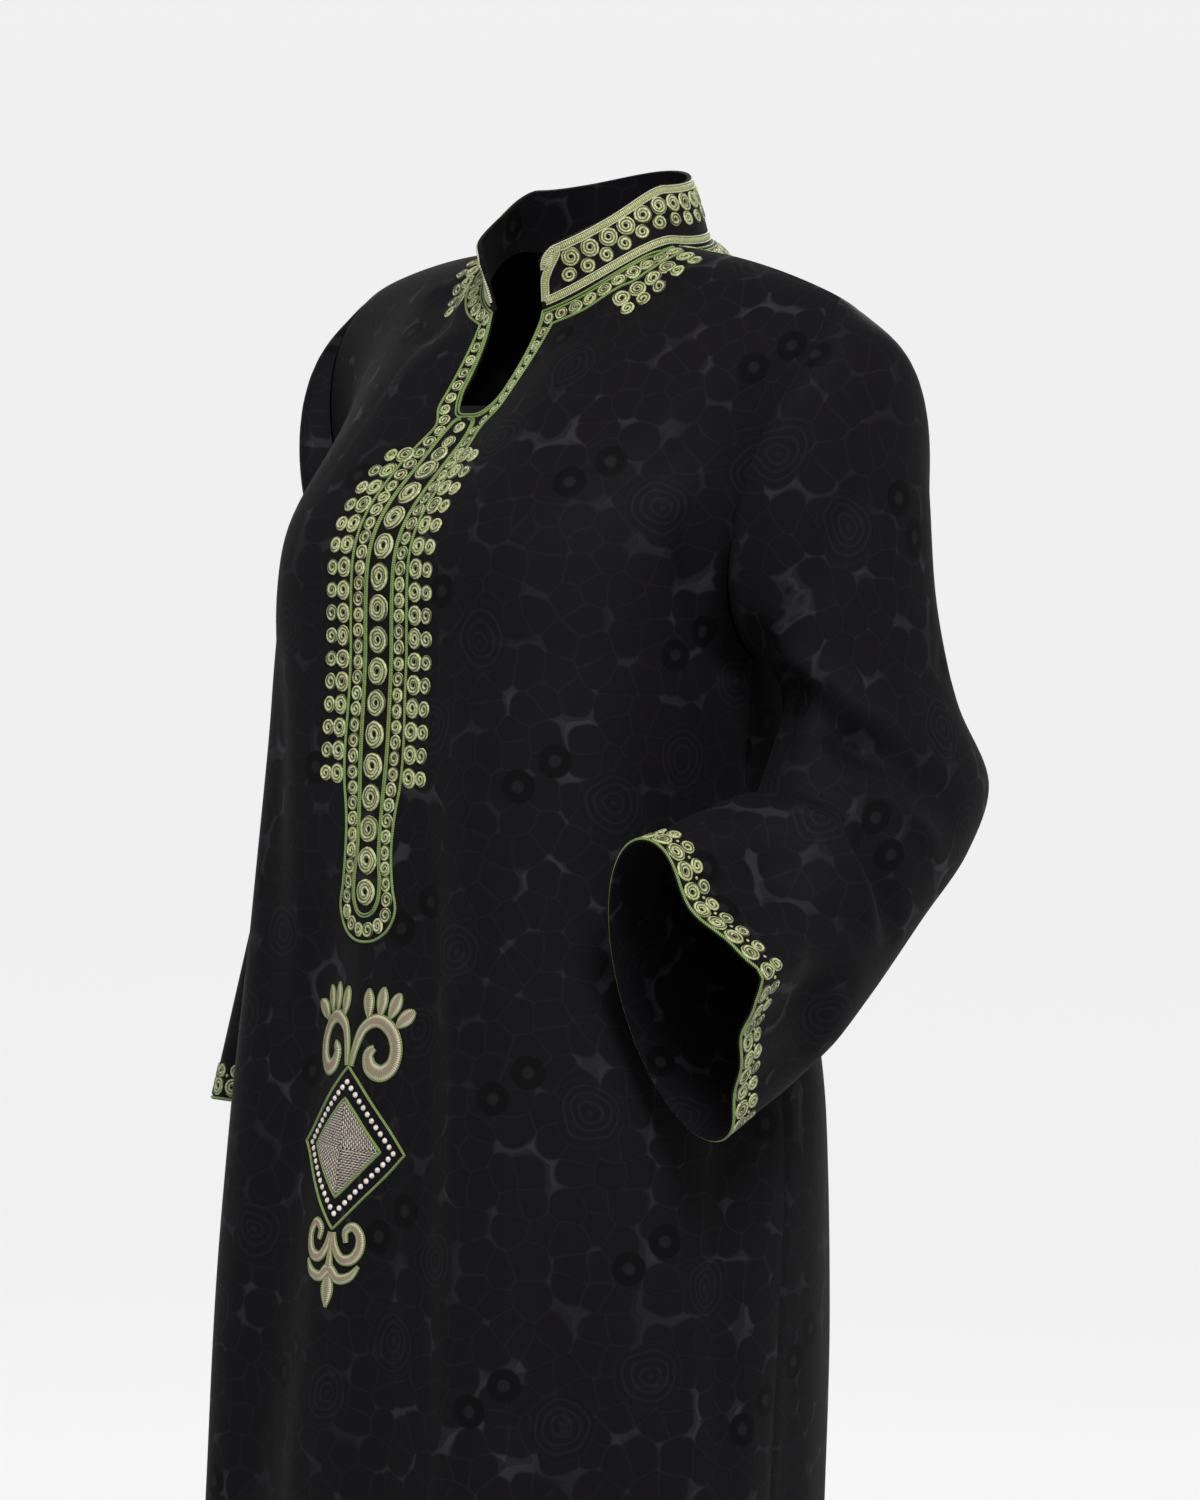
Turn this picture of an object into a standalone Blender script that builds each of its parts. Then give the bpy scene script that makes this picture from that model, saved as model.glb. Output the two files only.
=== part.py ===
"""A long Moroccan kaftan, filled out as it is worn: front, back, two bell sleeves, a stand collar and the
raised cord embroidery that lies on them.

Metres, +Z up. The front faces -Y and the wearer's left is +X. The origin is midway between the two neck
ends of the shoulder seams, where the garment hangs on its wearer. Heights are given as a drop below it.
"""

import math

import bmesh
import bpy
import numpy as np

CLOTH_WALL = 0.0016
COLLAR_WALL = 0.0026
SEAM_GAP = 0.0004
SLEEVE_SEAM_GAP = 0.0006
BRAID_LIFT = 0.0008
BRAID_WALL = 0.0011

NECK_HALF_WIDTH = 0.081
NECK_FRONT = 0.076
NECK_BACK = 0.078
NECK_FRONT_DROP = 0.052
NECK_BACK_RISE = 0.015
NECK_SLIT_ANGLE = 19.0
COLLAR_HEIGHT = 0.041
COLLAR_LEAN = 0.015
COLLAR_FLARE = (0.006, -0.009)
COLLAR_CORNER = 0.016

LEFT_SHOULDER_TIP = (0.242, 0.010, -0.038)
RIGHT_SHOULDER_TIP = (0.244, 0.008, -0.020)
SHOULDER_CROWN = 0.006
SIDE_SEAM_ANGLE = 11.0
ARMHOLE_DROP = 0.285
SLIT_HALF_WIDTH = 0.010
SLIT_SHARE = 0.34
HEM_DROP = 1.405

YOKE_ROWS = 10
SLIT_ROWS = 4
LOWER_ROWS = 22
NECK_CELLS = 5
SHOULDER_CELLS = 8
COLLAR_ROWS = 4

# The body's level rings: the drop below the shoulders, the half width, how far the front and the back
# stand off the middle, where the middle lies, and how square the ring is (2 is an ellipse).
BODY_RINGS = [
    # drop, half_width, front, back, middle, squareness
    (0.285, 0.180, 0.150, 0.150, -0.035, 3.10),
    (0.390, 0.190, 0.154, 0.150, -0.034, 3.00),
    (0.490, 0.205, 0.158, 0.153, -0.034, 2.80),
    (0.620, 0.222, 0.169, 0.162, -0.033, 2.55),
    (0.740, 0.226, 0.179, 0.170, -0.033, 2.40),
    (0.880, 0.229, 0.186, 0.173, -0.033, 2.25),
    (1.130, 0.238, 0.192, 0.178, -0.033, 2.15),
    (1.405, 0.248, 0.198, 0.184, -0.033, 2.15),
]

# Soft vertical folds and dents. The angle runs round the body from the wearer's left side (0) over the
# back (90); the front is at -90. A fold grows from its first drop to its full depth and turns a little.
BODY_FOLDS = [
    # angle, turn, first_drop, full_drop, last_drop, depth, half_width
    (-128.0, -6.0, 0.18, 0.32, 9.00, 0.013, 14.0),
    (-106.0, -4.0, 0.60, 1.10, 9.00, -0.010, 8.0),
    (-74.0, 4.0, 0.42, 0.85, 9.00, -0.012, 8.0),
    (-52.0, 6.0, 0.20, 0.36, 9.00, 0.009, 12.0),
    (-30.0, 6.0, 0.55, 1.00, 9.00, -0.013, 9.0),
    (-8.0, 4.0, 0.60, 1.05, 9.00, 0.010, 9.0),
    (14.0, 2.0, 0.55, 1.05, 9.00, -0.013, 9.0),
    (40.0, 2.0, 0.40, 0.90, 9.00, 0.010, 9.0),
    (64.0, 2.0, 0.35, 0.90, 9.00, -0.014, 9.0),
    (90.0, 0.0, 0.30, 0.85, 9.00, 0.010, 9.0),
    (116.0, -2.0, 0.35, 0.90, 9.00, -0.014, 9.0),
    (142.0, -3.0, 0.45, 1.00, 9.00, 0.010, 9.0),
    (170.0, -4.0, 0.55, 1.05, 9.00, -0.012, 9.0),
    (196.0, -4.0, 0.60, 1.05, 9.00, 0.009, 9.0),
    (214.0, -2.0, 0.55, 1.00, 9.00, -0.011, 8.0),
    (8.0, 0.0, 0.28, 0.38, 0.60, -0.012, 28.0),
    (172.0, 0.0, 0.28, 0.38, 0.76, -0.012, 28.0),
]

# Fullness of the chest, as one soft shelf pushed forwards.
CHEST_FULLNESS = {"drop": 0.202, "forward": 0.016, "half_width": 0.170, "half_height": 0.050}

# Each sleeve's rings from the cap to the cuff. The ring's centre, how far its front side has turned up
# (0 points forwards, 90 up), how far its outer side is tilted up, and its half sizes: tall is from the
# front or top side to the back or under side, wide is across.
LEFT_SLEEVE = [
    # x, y, z, turn, tilt, half_tall, half_wide, corner
    (0.237, 0.010, -0.1755, 0.0, 69.5, 0.080, 0.116, 0.000),
    (0.244, 0.016, -0.2155, 0.0, 60.4, 0.072, 0.088, 0.000),
    (0.245, 0.028, -0.2635, 2.0, 41.0, 0.068, 0.059, 0.000),
    (0.247, 0.045, -0.3130, 4.0, 14.0, 0.072, 0.048, 0.000),
    (0.252, 0.052, -0.3600, 6.0, 4.0, 0.094, 0.052, 0.000),
    (0.258, 0.033, -0.3940, 13.5, 0.0, 0.089, 0.054, 0.000),
    (0.262, -0.001, -0.4200, 30.4, 0.0, 0.085, 0.055, 0.000),
    (0.266, -0.039, -0.4490, 46.7, 0.0, 0.089, 0.057, 0.003),
    (0.270, -0.085, -0.4780, 58.3, 0.0, 0.099, 0.059, 0.008),
    (0.276, -0.1450, -0.5035, 71.2, 0.0, 0.106, 0.062, 0.016),
]
RIGHT_SLEEVE = [
    (0.234, 0.003, -0.1710, 0.0, 70.0, 0.074, 0.118, 0.000),
    (0.240, 0.007, -0.2135, 0.0, 60.4, 0.067, 0.089, 0.000),
    (0.244, 0.011, -0.2635, 0.0, 41.0, 0.066, 0.059, 0.000),
    (0.247, 0.013, -0.3150, 0.0, 14.0, 0.066, 0.047, 0.000),
    (0.251, 0.012, -0.3900, 1.0, 6.0, 0.071, 0.045, 0.000),
    (0.259, 0.006, -0.4700, 3.0, 3.0, 0.081, 0.044, 0.000),
    (0.266, 0.002, -0.5560, 5.0, 0.0, 0.093, 0.044, 0.000),
    (0.272, -0.002, -0.6400, 8.0, 0.0, 0.104, 0.046, 0.000),
]
SLEEVE_ROWS = 17

# The two braids on the middle of the front: how far down the cloth from the neck, and the half width.
BIB_OUTLINE = [
    # down, half_width
    (0.100, 0.024),
    (0.114, 0.032),
    (0.128, 0.050),
    (0.150, 0.057),
    (0.366, 0.057),
    (0.373, 0.034),
    (0.440, 0.031),
    (0.456, 0.033),
    (0.470, 0.028),
    (0.478, 0.012),
]
MOTIF_OUTLINE = [
    (0.508, 0.044),
    (0.518, 0.060),
    (0.534, 0.056),
    (0.553, 0.046),
    (0.568, 0.022),
    (0.616, 0.058),
    (0.664, 0.022),
    (0.690, 0.034),
    (0.708, 0.032),
    (0.731, 0.006),
]
BRAID_CELLS = 6

# The braid round the neck and down the slit, as cells of the yoke: rows down from the neck and columns
# counted from the middle of the front.
NECK_BRAID_ROWS = (0.10, 1.00, 1.45, 2.00, 3.00, 4.00, 4.60)
NECK_BRAID_COLUMNS = (1.06, 1.80, 3.00, 4.00, 5.00, 5.90)
BACK_BRAID_ROWS = (0.14, 1.00, 1.45)

BLACK_CLOTH = (0.012, 0.011, 0.013)
GREEN_CORD = (0.36, 0.42, 0.17)
PALE_GOLD = (0.55, 0.50, 0.36)


def spline(knots, values, at):
    """Smooth curve through the values at their knots, with the slope at each knot taken from its neighbours."""
    knots = np.asarray(knots, float)
    values = np.asarray(values, float)
    at = np.asarray(at, float)
    slopes = np.gradient(values, knots, axis=0)
    low = np.clip(np.searchsorted(knots, at, side="right") - 1, 0, len(knots) - 2)
    span = knots[low + 1] - knots[low]
    t = (at - knots[low]) / span
    trailing = (1,) * (values.ndim - 1)
    span = span.reshape(span.shape + trailing)
    t = t.reshape(t.shape + trailing)
    return (
        (2 * t**3 - 3 * t**2 + 1) * values[low]
        + (t**3 - 2 * t**2 + t) * span * slopes[low]
        + (3 * t**2 - 2 * t**3) * values[low + 1]
        + (t**3 - t**2) * span * slopes[low + 1]
    )


def smooth_step(t):
    t = np.clip(t, 0.0, 1.0)
    return t * t * (3 - 2 * t)


def fold_depth(angle, drop):
    """How far the folds push the cloth outwards at an angle in degrees and a drop."""
    depth = np.zeros(np.broadcast(angle, drop).shape)
    for centre, turn, first, full, last, height, half_width in BODY_FOLDS:
        grown = smooth_step((drop - first) / (full - first))
        faded = 1 - smooth_step((drop - last + 0.12) / 0.12)
        middle = centre + turn * smooth_step((drop - first) / (HEM_DROP - first))
        apart = (angle - middle + 180.0) % 360.0 - 180.0
        depth = depth + height * grown * faded * np.exp(-((apart / half_width) ** 2))
    return depth


def body_point(angle, drop):
    """A point of the body's cloth below the armholes: a squarish oval in polar form, plus its folds."""
    table = np.array(BODY_RINGS)
    half_width, front, back, middle, square = (spline(table[:, 0], table[:, k], drop) for k in range(1, 6))
    across = np.cos(np.radians(angle))
    along = np.sin(np.radians(angle))
    depth = np.where(along < 0, front, back)
    radius = (np.abs(across / half_width) ** square + np.abs(along / depth) ** square) ** (-1 / square)
    radius = radius + fold_depth(angle, drop)
    return np.stack([radius * across, middle + radius * along, -drop * np.ones_like(radius)], axis=-1)


def ring_angles(drop, start, end, shares):
    """Angles between start and end whose share of the ring's length there is as given."""
    angles = np.linspace(start, end, 181)
    points = body_point(angles, np.full_like(angles, drop))
    steps = np.linalg.norm(np.diff(points, axis=0), axis=1)
    length = np.concatenate([[0.0], np.cumsum(steps)])
    return np.interp(np.asarray(shares), length / length[-1], angles), length[-1]


def neck_point(angle):
    """The seam of neck and collar, as an oval that drops to the front and rises a little at the back."""
    across = np.cos(np.radians(angle))
    along = np.sin(np.radians(angle))
    y = np.where(along < 0, NECK_FRONT, NECK_BACK) * along
    front = np.clip(-along, 0, 1)
    z = -NECK_FRONT_DROP * front**1.6 + NECK_BACK_RISE * np.clip(along, 0, 1) ** 2
    return np.stack([NECK_HALF_WIDTH * across, y, z], axis=-1)


def shoulder_point(share, tip):
    """The shoulder seam, from the neck (0) to its tip (1), crowned a little."""
    start = np.array([NECK_HALF_WIDTH, 0.0, 0.0])
    share = np.asarray(share)[..., None]
    line = start + (np.array(tip) - start) * share
    return line + np.array([0.0, 0.0, SHOULDER_CROWN]) * 4 * share * (1 - share)


def half_columns():
    """Where the columns of half a panel lie, from its middle (0) to its side (1)."""
    neck = np.linspace(0.0, 0.30, NECK_CELLS + 1)
    shoulder = np.linspace(0.30, 1.0, SHOULDER_CELLS + 1)
    return np.concatenate([neck, shoulder[1:]])


def top_edge(columns, is_front, mirror):
    """Half of a panel's top edge: the neck seam, then the shoulder seam, both as on the wearer's left."""
    middle_angle = -90.0 + NECK_SLIT_ANGLE if is_front else 90.0
    neck = neck_point(middle_angle * (1 - columns[: NECK_CELLS + 1] / columns[NECK_CELLS]))
    share = (columns[NECK_CELLS + 1 :] - columns[NECK_CELLS]) / (1 - columns[NECK_CELLS])
    tip = LEFT_SHOULDER_TIP if mirror > 0 else RIGHT_SHOULDER_TIP
    return np.concatenate([neck, shoulder_point(share, tip)])


def yoke(columns, is_front, mirror, lower_edge):
    """The cloth between the top edge and the ring at the armholes, as one smooth curve for each column.

    Each curve leaves the seam forwards (or backwards) and lands on the ring heading down. The outermost
    one is the armhole's own edge, which swings out and back again to the underarm."""
    side = 1.0 if is_front else -1.0
    top = top_edge(columns, is_front, mirror)
    out = columns[:, None]
    leave_middle = np.array([-0.020, -0.030, -0.190]) if is_front else np.array([0.000, 0.110, -0.060])
    leave_neck = np.array([0.020, -0.180, -0.050]) if is_front else np.array([0.020, 0.340, -0.030])
    leave_tip = np.array([0.120, -0.210, -0.130]) if is_front else np.array([0.120, 0.270, -0.130])
    neck_share = np.clip(out / columns[NECK_CELLS], 0, 1)
    tip_share = np.clip((out - columns[NECK_CELLS]) / (1 - columns[NECK_CELLS]), 0, 1)
    leave = leave_middle + (leave_neck - leave_middle) * neck_share
    leave = leave + (leave_tip - leave_neck) * tip_share**1.5
    land_down = np.array([0.0, 0.0, -0.30])
    land_tip = np.array([-0.010, 0.235 * side, -0.170])
    land = land_down + (land_tip - land_down) * out**5
    flip = np.array([mirror, 1.0, 1.0])
    above = np.linspace(0.0, SLIT_SHARE, SLIT_ROWS + 1)
    t = np.concatenate([above, np.linspace(SLIT_SHARE, 1.0, YOKE_ROWS - SLIT_ROWS + 1)[1:]])[:, None, None]
    return (
        (2 * t**3 - 3 * t**2 + 1) * (top * flip)
        + (t**3 - 2 * t**2 + t) * (leave * flip)
        + (3 * t**2 - 2 * t**3) * lower_edge
        + (t**3 - t**2) * (land * flip)
    )


def add_chest(points):
    """Pushes the front forwards over the chest, as one soft shelf that ends towards the arms."""
    c = CHEST_FULLNESS
    across = np.abs(points[..., 0]) / c["half_width"]
    up = (points[..., 2] + c["drop"]) / c["half_height"]
    points[..., 1] -= c["forward"] * np.exp(-(across**4) - up**2)
    return points


def half_panel(is_front, mirror):
    """The grid of half a panel, rows from the top edge to the hem and columns from the middle out."""
    columns = half_columns()
    start = -90.0 if is_front else 90.0
    end = SIDE_SEAM_ANGLE if mirror > 0 else 180.0 - SIDE_SEAM_ANGLE
    if is_front and mirror < 0:
        end -= 360.0
    drops = np.linspace(ARMHOLE_DROP, HEM_DROP, LOWER_ROWS + 1)
    rows = []
    for drop in drops:
        length = ring_angles(drop, start, end, [0.0])[1]
        first = SLIT_HALF_WIDTH / length if is_front else 0.0
        angles = ring_angles(drop, start, end, first + (1 - first) * columns)[0]
        rows.append(body_point(angles, np.full_like(angles, drop)))
    lower = np.array(rows)
    upper = yoke(columns, is_front, mirror, lower[0])
    return np.concatenate([upper[:-1], lower])


def panel_grid(is_front):
    """The whole panel's outer points. Columns run so that the outside is on their left going down."""
    left = half_panel(is_front, 1.0)
    right = half_panel(is_front, -1.0)
    if is_front:
        middle = (left[:, :1] + right[:, :1]) / 2
        middle[:, :, 1] -= 0.0008
        grid = np.concatenate([right[:, ::-1], middle, left], axis=1)
        return add_chest(grid)
    return np.concatenate([left[:, ::-1], right[:, 1:]], axis=1)


def sleeve_grid(stations, mirror, armhole):
    """A sleeve's outer points, rows from the armhole to the cuff and columns round it.

    The rings go round from the outer side to the front, the inner side and the back. Every ring is an
    oval in the plane of its station, and each column is one smooth curve through them."""
    count = armhole.shape[0]
    around = np.linspace(0.0, 2 * np.pi, count, endpoint=False)
    rings = [armhole]
    for x, y, z, turn, tilt, half_tall, half_wide, corner in stations:
        centre = np.array([x * mirror, y, z])
        front = np.array([0.0, -math.cos(math.radians(turn)), math.sin(math.radians(turn))])
        outer = np.array([mirror * math.cos(math.radians(tilt)), 0.0, math.sin(math.radians(tilt))])
        rings.append(
            centre
            + (half_wide * np.cos(around) + corner * np.clip(np.cos(around), 0, 1) ** 6)[:, None] * outer
            + half_tall * np.sin(around)[:, None] * front
        )
    rings = np.array(rings)
    travel = np.linalg.norm(np.diff(rings.mean(axis=1), axis=0), axis=1)
    knots = np.concatenate([[0.0], np.cumsum(travel)])
    return spline(knots, rings, np.linspace(0.0, knots[-1], SLEEVE_ROWS + 1))


def neck_line():
    """The neck seam from its right front end to its left one, on the panels' own straight cell edges."""
    across = half_columns()[: NECK_CELLS + 1] / half_columns()[NECK_CELLS]
    front = neck_point((-90.0 + NECK_SLIT_ANGLE) * (1 - across))
    back = neck_point(90.0 * (1 - across))
    flip = np.array([-1.0, 1.0, 1.0])
    line = np.concatenate([front * flip, back[-2:0:-1] * flip, back, front[-2::-1]])
    halfway = (line[1:] + line[:-1]) / 2
    full = np.empty((len(line) * 2 - 1, 3))
    full[::2] = line
    full[1::2] = halfway
    return full


def collar_grid():
    """The collar's outer points: rows up from its seam, columns from the right front end to the left."""
    base = neck_line()
    steps = np.linalg.norm(np.diff(base, axis=0), axis=1)
    length = np.concatenate([[0.0], np.cumsum(steps)])
    from_end = np.minimum(length, length[-1] - length)
    corner = np.clip(1 - from_end / COLLAR_CORNER, 0, 1)
    height = COLLAR_HEIGHT - COLLAR_CORNER * 0.55 * (1 - np.sqrt(1 - corner**2))
    inward = base * np.array([-1.0, -1.0, 0.0])
    inward = inward / np.linalg.norm(inward, axis=1)[:, None]
    lean = COLLAR_LEAN * smooth_step(from_end / 0.13)
    flare = 1 - smooth_step(from_end / 0.07)
    outward = np.stack([np.sign(base[:, 0]) * COLLAR_FLARE[0], np.full(len(base), COLLAR_FLARE[1]), 0 * lean], 1)
    outward = outward * flare[:, None]
    up = np.linspace(0.0, 1.0, COLLAR_ROWS + 1)[:, None, None]
    rise = np.array([0.0, 0.0, 1.0]) * height[:, None]
    base = base + np.array([0.0, 0.0, SEAM_GAP])
    return base + up * rise + (inward * lean[:, None] + outward) * up**1.2


def grid_normals(grid, wrap, outside):
    """Unit normals of a grid of points, pointing outwards when outside is 1."""
    down = np.gradient(grid, axis=0)
    if wrap:
        across = (np.roll(grid, -1, axis=1) - np.roll(grid, 1, axis=1)) / 2
    else:
        across = np.gradient(grid, axis=1)
    normals = np.cross(down, across) * outside
    return normals / np.linalg.norm(normals, axis=2)[:, :, None]


def unit(vectors):
    return vectors / np.linalg.norm(vectors, axis=-1)[..., None]


def make_object(name, points, faces, colour, roughness):
    """One closed mesh object with its own plain material."""
    mesh = bpy.data.meshes.new(name)
    mesh.from_pydata([tuple(p) for p in points], [], faces)
    shape = bmesh.new()
    shape.from_mesh(mesh)
    loose = [v for v in shape.verts if not v.link_faces]
    bmesh.ops.delete(shape, geom=loose, context="VERTS")
    bmesh.ops.recalc_face_normals(shape, faces=shape.faces)
    shape.to_mesh(mesh)
    shape.free()
    mesh.shade_smooth()
    mesh.set_sharp_from_angle(angle=math.radians(50))
    material = bpy.data.materials.new(name)
    material.use_nodes = True
    surface = material.node_tree.nodes["Principled BSDF"]
    surface.inputs["Base Color"].default_value = (*colour, 1.0)
    surface.inputs["Roughness"].default_value = roughness
    surface.inputs["Metallic"].default_value = 0.0
    mesh.materials.append(material)
    thing = bpy.data.objects.new(name, mesh)
    bpy.context.scene.collection.objects.link(thing)
    return thing


def wall_faces(rows, columns, kept, wrap):
    """Faces of a wall whose outer points come first and inner points second, and the strips at its edges.

    Each cell is split along the same diagonal, so that what lies on the wall can follow its facets."""
    inner = rows * columns
    faces = []
    edges = {}

    def add(i, j, flip):
        j_next = (j + 1) % columns
        a, b = i * columns + j, i * columns + j_next
        c, d = (i + 1) * columns + j, (i + 1) * columns + j_next
        for corners in ((a, d, b), (a, c, d)):
            faces.append(corners)
            faces.append(tuple(inner + v for v in reversed(corners)))
        for pair in ((a, b), (b, d), (d, c), (c, a)):
            key = tuple(sorted(pair))
            edges[key] = edges.get(key, 0) + 1

    for i in range(rows - 1):
        for j in range(columns if wrap else columns - 1):
            if kept is None or kept[i, j]:
                add(i, j, False)
    for (a, b), times in edges.items():
        if times == 1:
            faces.append((a, b, inner + b, inner + a))
    return faces


def make_wall(name, outer, normals, wall, colour, roughness, wrap=False, kept=None):
    """A cloth wall: the outer grid, and an inner grid moved in by the wall's thickness."""
    rows, columns = outer.shape[:2]
    inside = outer - normals * wall
    points = np.concatenate([outer.reshape(-1, 3), inside.reshape(-1, 3)])
    return make_object(name, points, wall_faces(rows, columns, kept, wrap), colour, roughness)


def facet_point(grid, row, column):
    """A point of the faceted surface at fractional rows and columns."""
    i = np.clip(row.astype(int), 0, grid.shape[0] - 2)
    j = np.clip(column.astype(int), 0, grid.shape[1] - 2)
    t = (row - i)[..., None]
    s = (column - j)[..., None]
    a, b = grid[i, j], grid[i, j + 1]
    c, d = grid[i + 1, j], grid[i + 1, j + 1]
    upper = a + s * (b - a) + t * (d - b)
    lower = a + t * (c - a) + s * (d - c)
    return np.where(s >= t, upper, lower)


def lengths_down(grid, column):
    """How far down the cloth each row is, along one column from the top edge."""
    steps = np.linalg.norm(np.diff(grid[:, column], axis=0), axis=1)
    return np.concatenate([[0.0], np.cumsum(steps)])


def column_at(grid, row, middle, across):
    """The fractional column that is a distance across from the middle column, at a fractional row."""
    i = min(int(row), grid.shape[0] - 2)
    numbers = np.arange(grid.shape[1])
    found = []
    for r in (i, i + 1):
        steps = np.linalg.norm(np.diff(grid[r], axis=0), axis=1)
        along = np.concatenate([[0.0], np.cumsum(steps)])
        found.append(np.interp(across, along - along[middle], numbers))
    return found[0] * (i + 1 - row) + found[1] * (row - i)


def make_braid(name, grid, normals, rows, columns, colour, kept=None, wrap=False):
    """A thin raised piece on a panel's facets, from a grid of fractional rows and columns."""
    surface = facet_point(grid, rows, columns)
    out = unit(facet_point(normals, rows, columns))
    outer = surface + out * (BRAID_LIFT + BRAID_WALL)
    return make_wall(name, outer, out, BRAID_WALL, colour, 0.6, wrap=wrap, kept=kept)


def make_centre_braid(name, outline, grid, normals, middle, colour):
    """A braid on the front's middle, from a table of how far down the cloth it is and its half width."""
    down = lengths_down(grid, middle)
    table = np.array(outline)
    table_rows = np.interp(table[:, 0], down, np.arange(len(down)))
    whole = [r for r in range(len(down)) if table_rows[0] + 0.15 < r < table_rows[-1] - 0.15]
    rows = np.array(sorted(whole + [r for r in table_rows if all(abs(r - w) > 0.12 for w in whole)]))
    half_width = np.interp(np.interp(rows, np.arange(len(down)), down), table[:, 0], table[:, 1])
    shares = np.linspace(-1.0, 1.0, 2 * BRAID_CELLS + 1)
    columns = np.array([column_at(grid, r, middle, w * shares) for r, w in zip(rows, half_width)])
    return make_braid(name, grid, normals, np.repeat(rows[:, None], len(shares), 1), columns, colour)


def main():
    for thing in list(bpy.data.objects):
        bpy.data.objects.remove(thing)

    front = panel_grid(True)
    back = panel_grid(False)
    columns = front.shape[1]
    half = NECK_CELLS + SHOULDER_CELLS
    middle = half + 1
    front_normals = grid_normals(front, False, 1.0)
    back_normals = grid_normals(back, False, 1.0)

    # Where two pieces meet, both take the mean of their normals, so their edges face each other squarely.
    for front_column, back_column in ((columns - 1, 0), (0, back.shape[1] - 1)):
        mean = unit(front_normals[:, front_column] + back_normals[:, back_column])
        front_normals[:, front_column] = mean
        back_normals[:, back_column] = mean
    for k in range(SHOULDER_CELLS + 1):
        for front_column, back_column in ((columns - 1 - k, k), (k, back.shape[1] - 1 - k)):
            mean = unit(front_normals[0, front_column] + back_normals[0, back_column])
            front_normals[0, front_column] = mean
            back_normals[0, back_column] = mean

    sleeves = {}
    for side, stations, mirror in (("left", LEFT_SLEEVE, 1.0), ("right", RIGHT_SLEEVE, -1.0)):
        front_column = columns - 1 if mirror > 0 else 0
        back_column = 0 if mirror > 0 else back.shape[1] - 1
        front_edge = front[: YOKE_ROWS + 1, front_column]
        back_edge = back[: YOKE_ROWS + 1, back_column]
        armhole = np.concatenate([front_edge, back_edge[-2:0:-1]])
        grid = sleeve_grid(stations, mirror, armhole)
        normals = grid_normals(grid, True, -mirror)
        edge_normals = np.concatenate(
            [front_normals[: YOKE_ROWS + 1, front_column], back_normals[YOKE_ROWS - 1 : 0 : -1, back_column]]
        )
        mean = unit(normals[0] + edge_normals)
        normals[0] = mean
        front_normals[: YOKE_ROWS + 1, front_column] = mean[: YOKE_ROWS + 1]
        back_normals[0, back_column] = mean[0]
        back_normals[1 : YOKE_ROWS + 1, back_column] = mean[: YOKE_ROWS - 1 : -1]
        grid[0] += unit(grid[1] - grid[0]) * SLEEVE_SEAM_GAP
        sleeves[side] = (grid, normals)

    # Seam allowances: each panel stops half a seam gap short of its side and shoulder edges.
    for grid in (front, back):
        grid[:, 0] += unit(grid[:, 1] - grid[:, 0]) * SEAM_GAP / 2
        grid[:, -1] += unit(grid[:, -2] - grid[:, -1]) * SEAM_GAP / 2
        grid[0] += unit(grid[1] - grid[0]) * SEAM_GAP / 2

    kept = np.ones((front.shape[0] - 1, columns - 1), bool)
    kept[:SLIT_ROWS, middle - 1 : middle + 1] = False
    make_wall("front", front, front_normals, CLOTH_WALL, BLACK_CLOTH, 0.55, kept=kept)
    make_wall("back", back, back_normals, CLOTH_WALL, BLACK_CLOTH, 0.55)
    for side, (grid, normals) in sleeves.items():
        make_wall(f"sleeve_{side}", grid, normals, CLOTH_WALL, BLACK_CLOTH, 0.55, wrap=True)

    collar = collar_grid()
    collar_normals = grid_normals(collar, False, 1.0)
    collar_normals[:, :, 2] = 0.0
    collar_normals = unit(collar_normals)
    make_wall("collar", collar, collar_normals, COLLAR_WALL, BLACK_CLOTH, 0.5)

    rows, across = np.meshgrid((0.25, 1.0, 2.0, 3.0, 3.75), np.arange(collar.shape[1]), indexing="ij")
    across = np.clip(across, 0.25, collar.shape[1] - 1.25)
    make_braid("collar_braid", collar, collar_normals, rows, across, GREEN_CORD)

    make_centre_braid("bib_braid", BIB_OUTLINE, front, front_normals, middle, GREEN_CORD)
    make_centre_braid("motif_braid", MOTIF_OUTLINE, front, front_normals, middle, PALE_GOLD)

    rows, across = np.meshgrid(NECK_BRAID_ROWS, NECK_BRAID_COLUMNS, indexing="ij")
    kept = (rows[:-1, :-1] < 1.3) | (across[:-1, :-1] < 1.3)
    make_braid("neck_braid_left", front, front_normals, rows, middle + across, GREEN_CORD, kept)
    make_braid("neck_braid_right", front, front_normals, rows, middle - across, GREEN_CORD, kept)

    reach = NECK_CELLS - 0.1
    back_middle = half
    inner = np.concatenate([[-reach], np.arange(1 - NECK_CELLS, NECK_CELLS), [reach]])
    rows, across = np.meshgrid(BACK_BRAID_ROWS, back_middle + inner, indexing="ij")
    make_braid("neck_braid_back", back, back_normals, rows, across, GREEN_CORD)

    for side, (grid, normals) in sleeves.items():
        closed = np.concatenate([grid, grid[:, :1]], axis=1)
        closed_normals = np.concatenate([normals, normals[:, :1]], axis=1)
        rows, across = np.meshgrid((SLEEVE_ROWS - 1.0, SLEEVE_ROWS - 0.1), np.arange(grid.shape[1]), indexing="ij")
        make_braid(f"cuff_braid_{side}", closed, closed_normals, rows, across, GREEN_CORD, wrap=True)


main()
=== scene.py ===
"""The looks of a long Moroccan kaftan, filled out as it is worn.

Jacquard cloth, couched cord embroidery and a plain stage. Metres, +Z up. The front faces -Y and the wearer's
left is +X. The origin is midway between the two neck ends of the shoulder seams. The cloth repeats the forms
of the solids from the same tables, on finer grids. Each piece is also measured flat, across and down, so that
embroidery and weave are laid out as a maker would do it.
"""

import math

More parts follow.
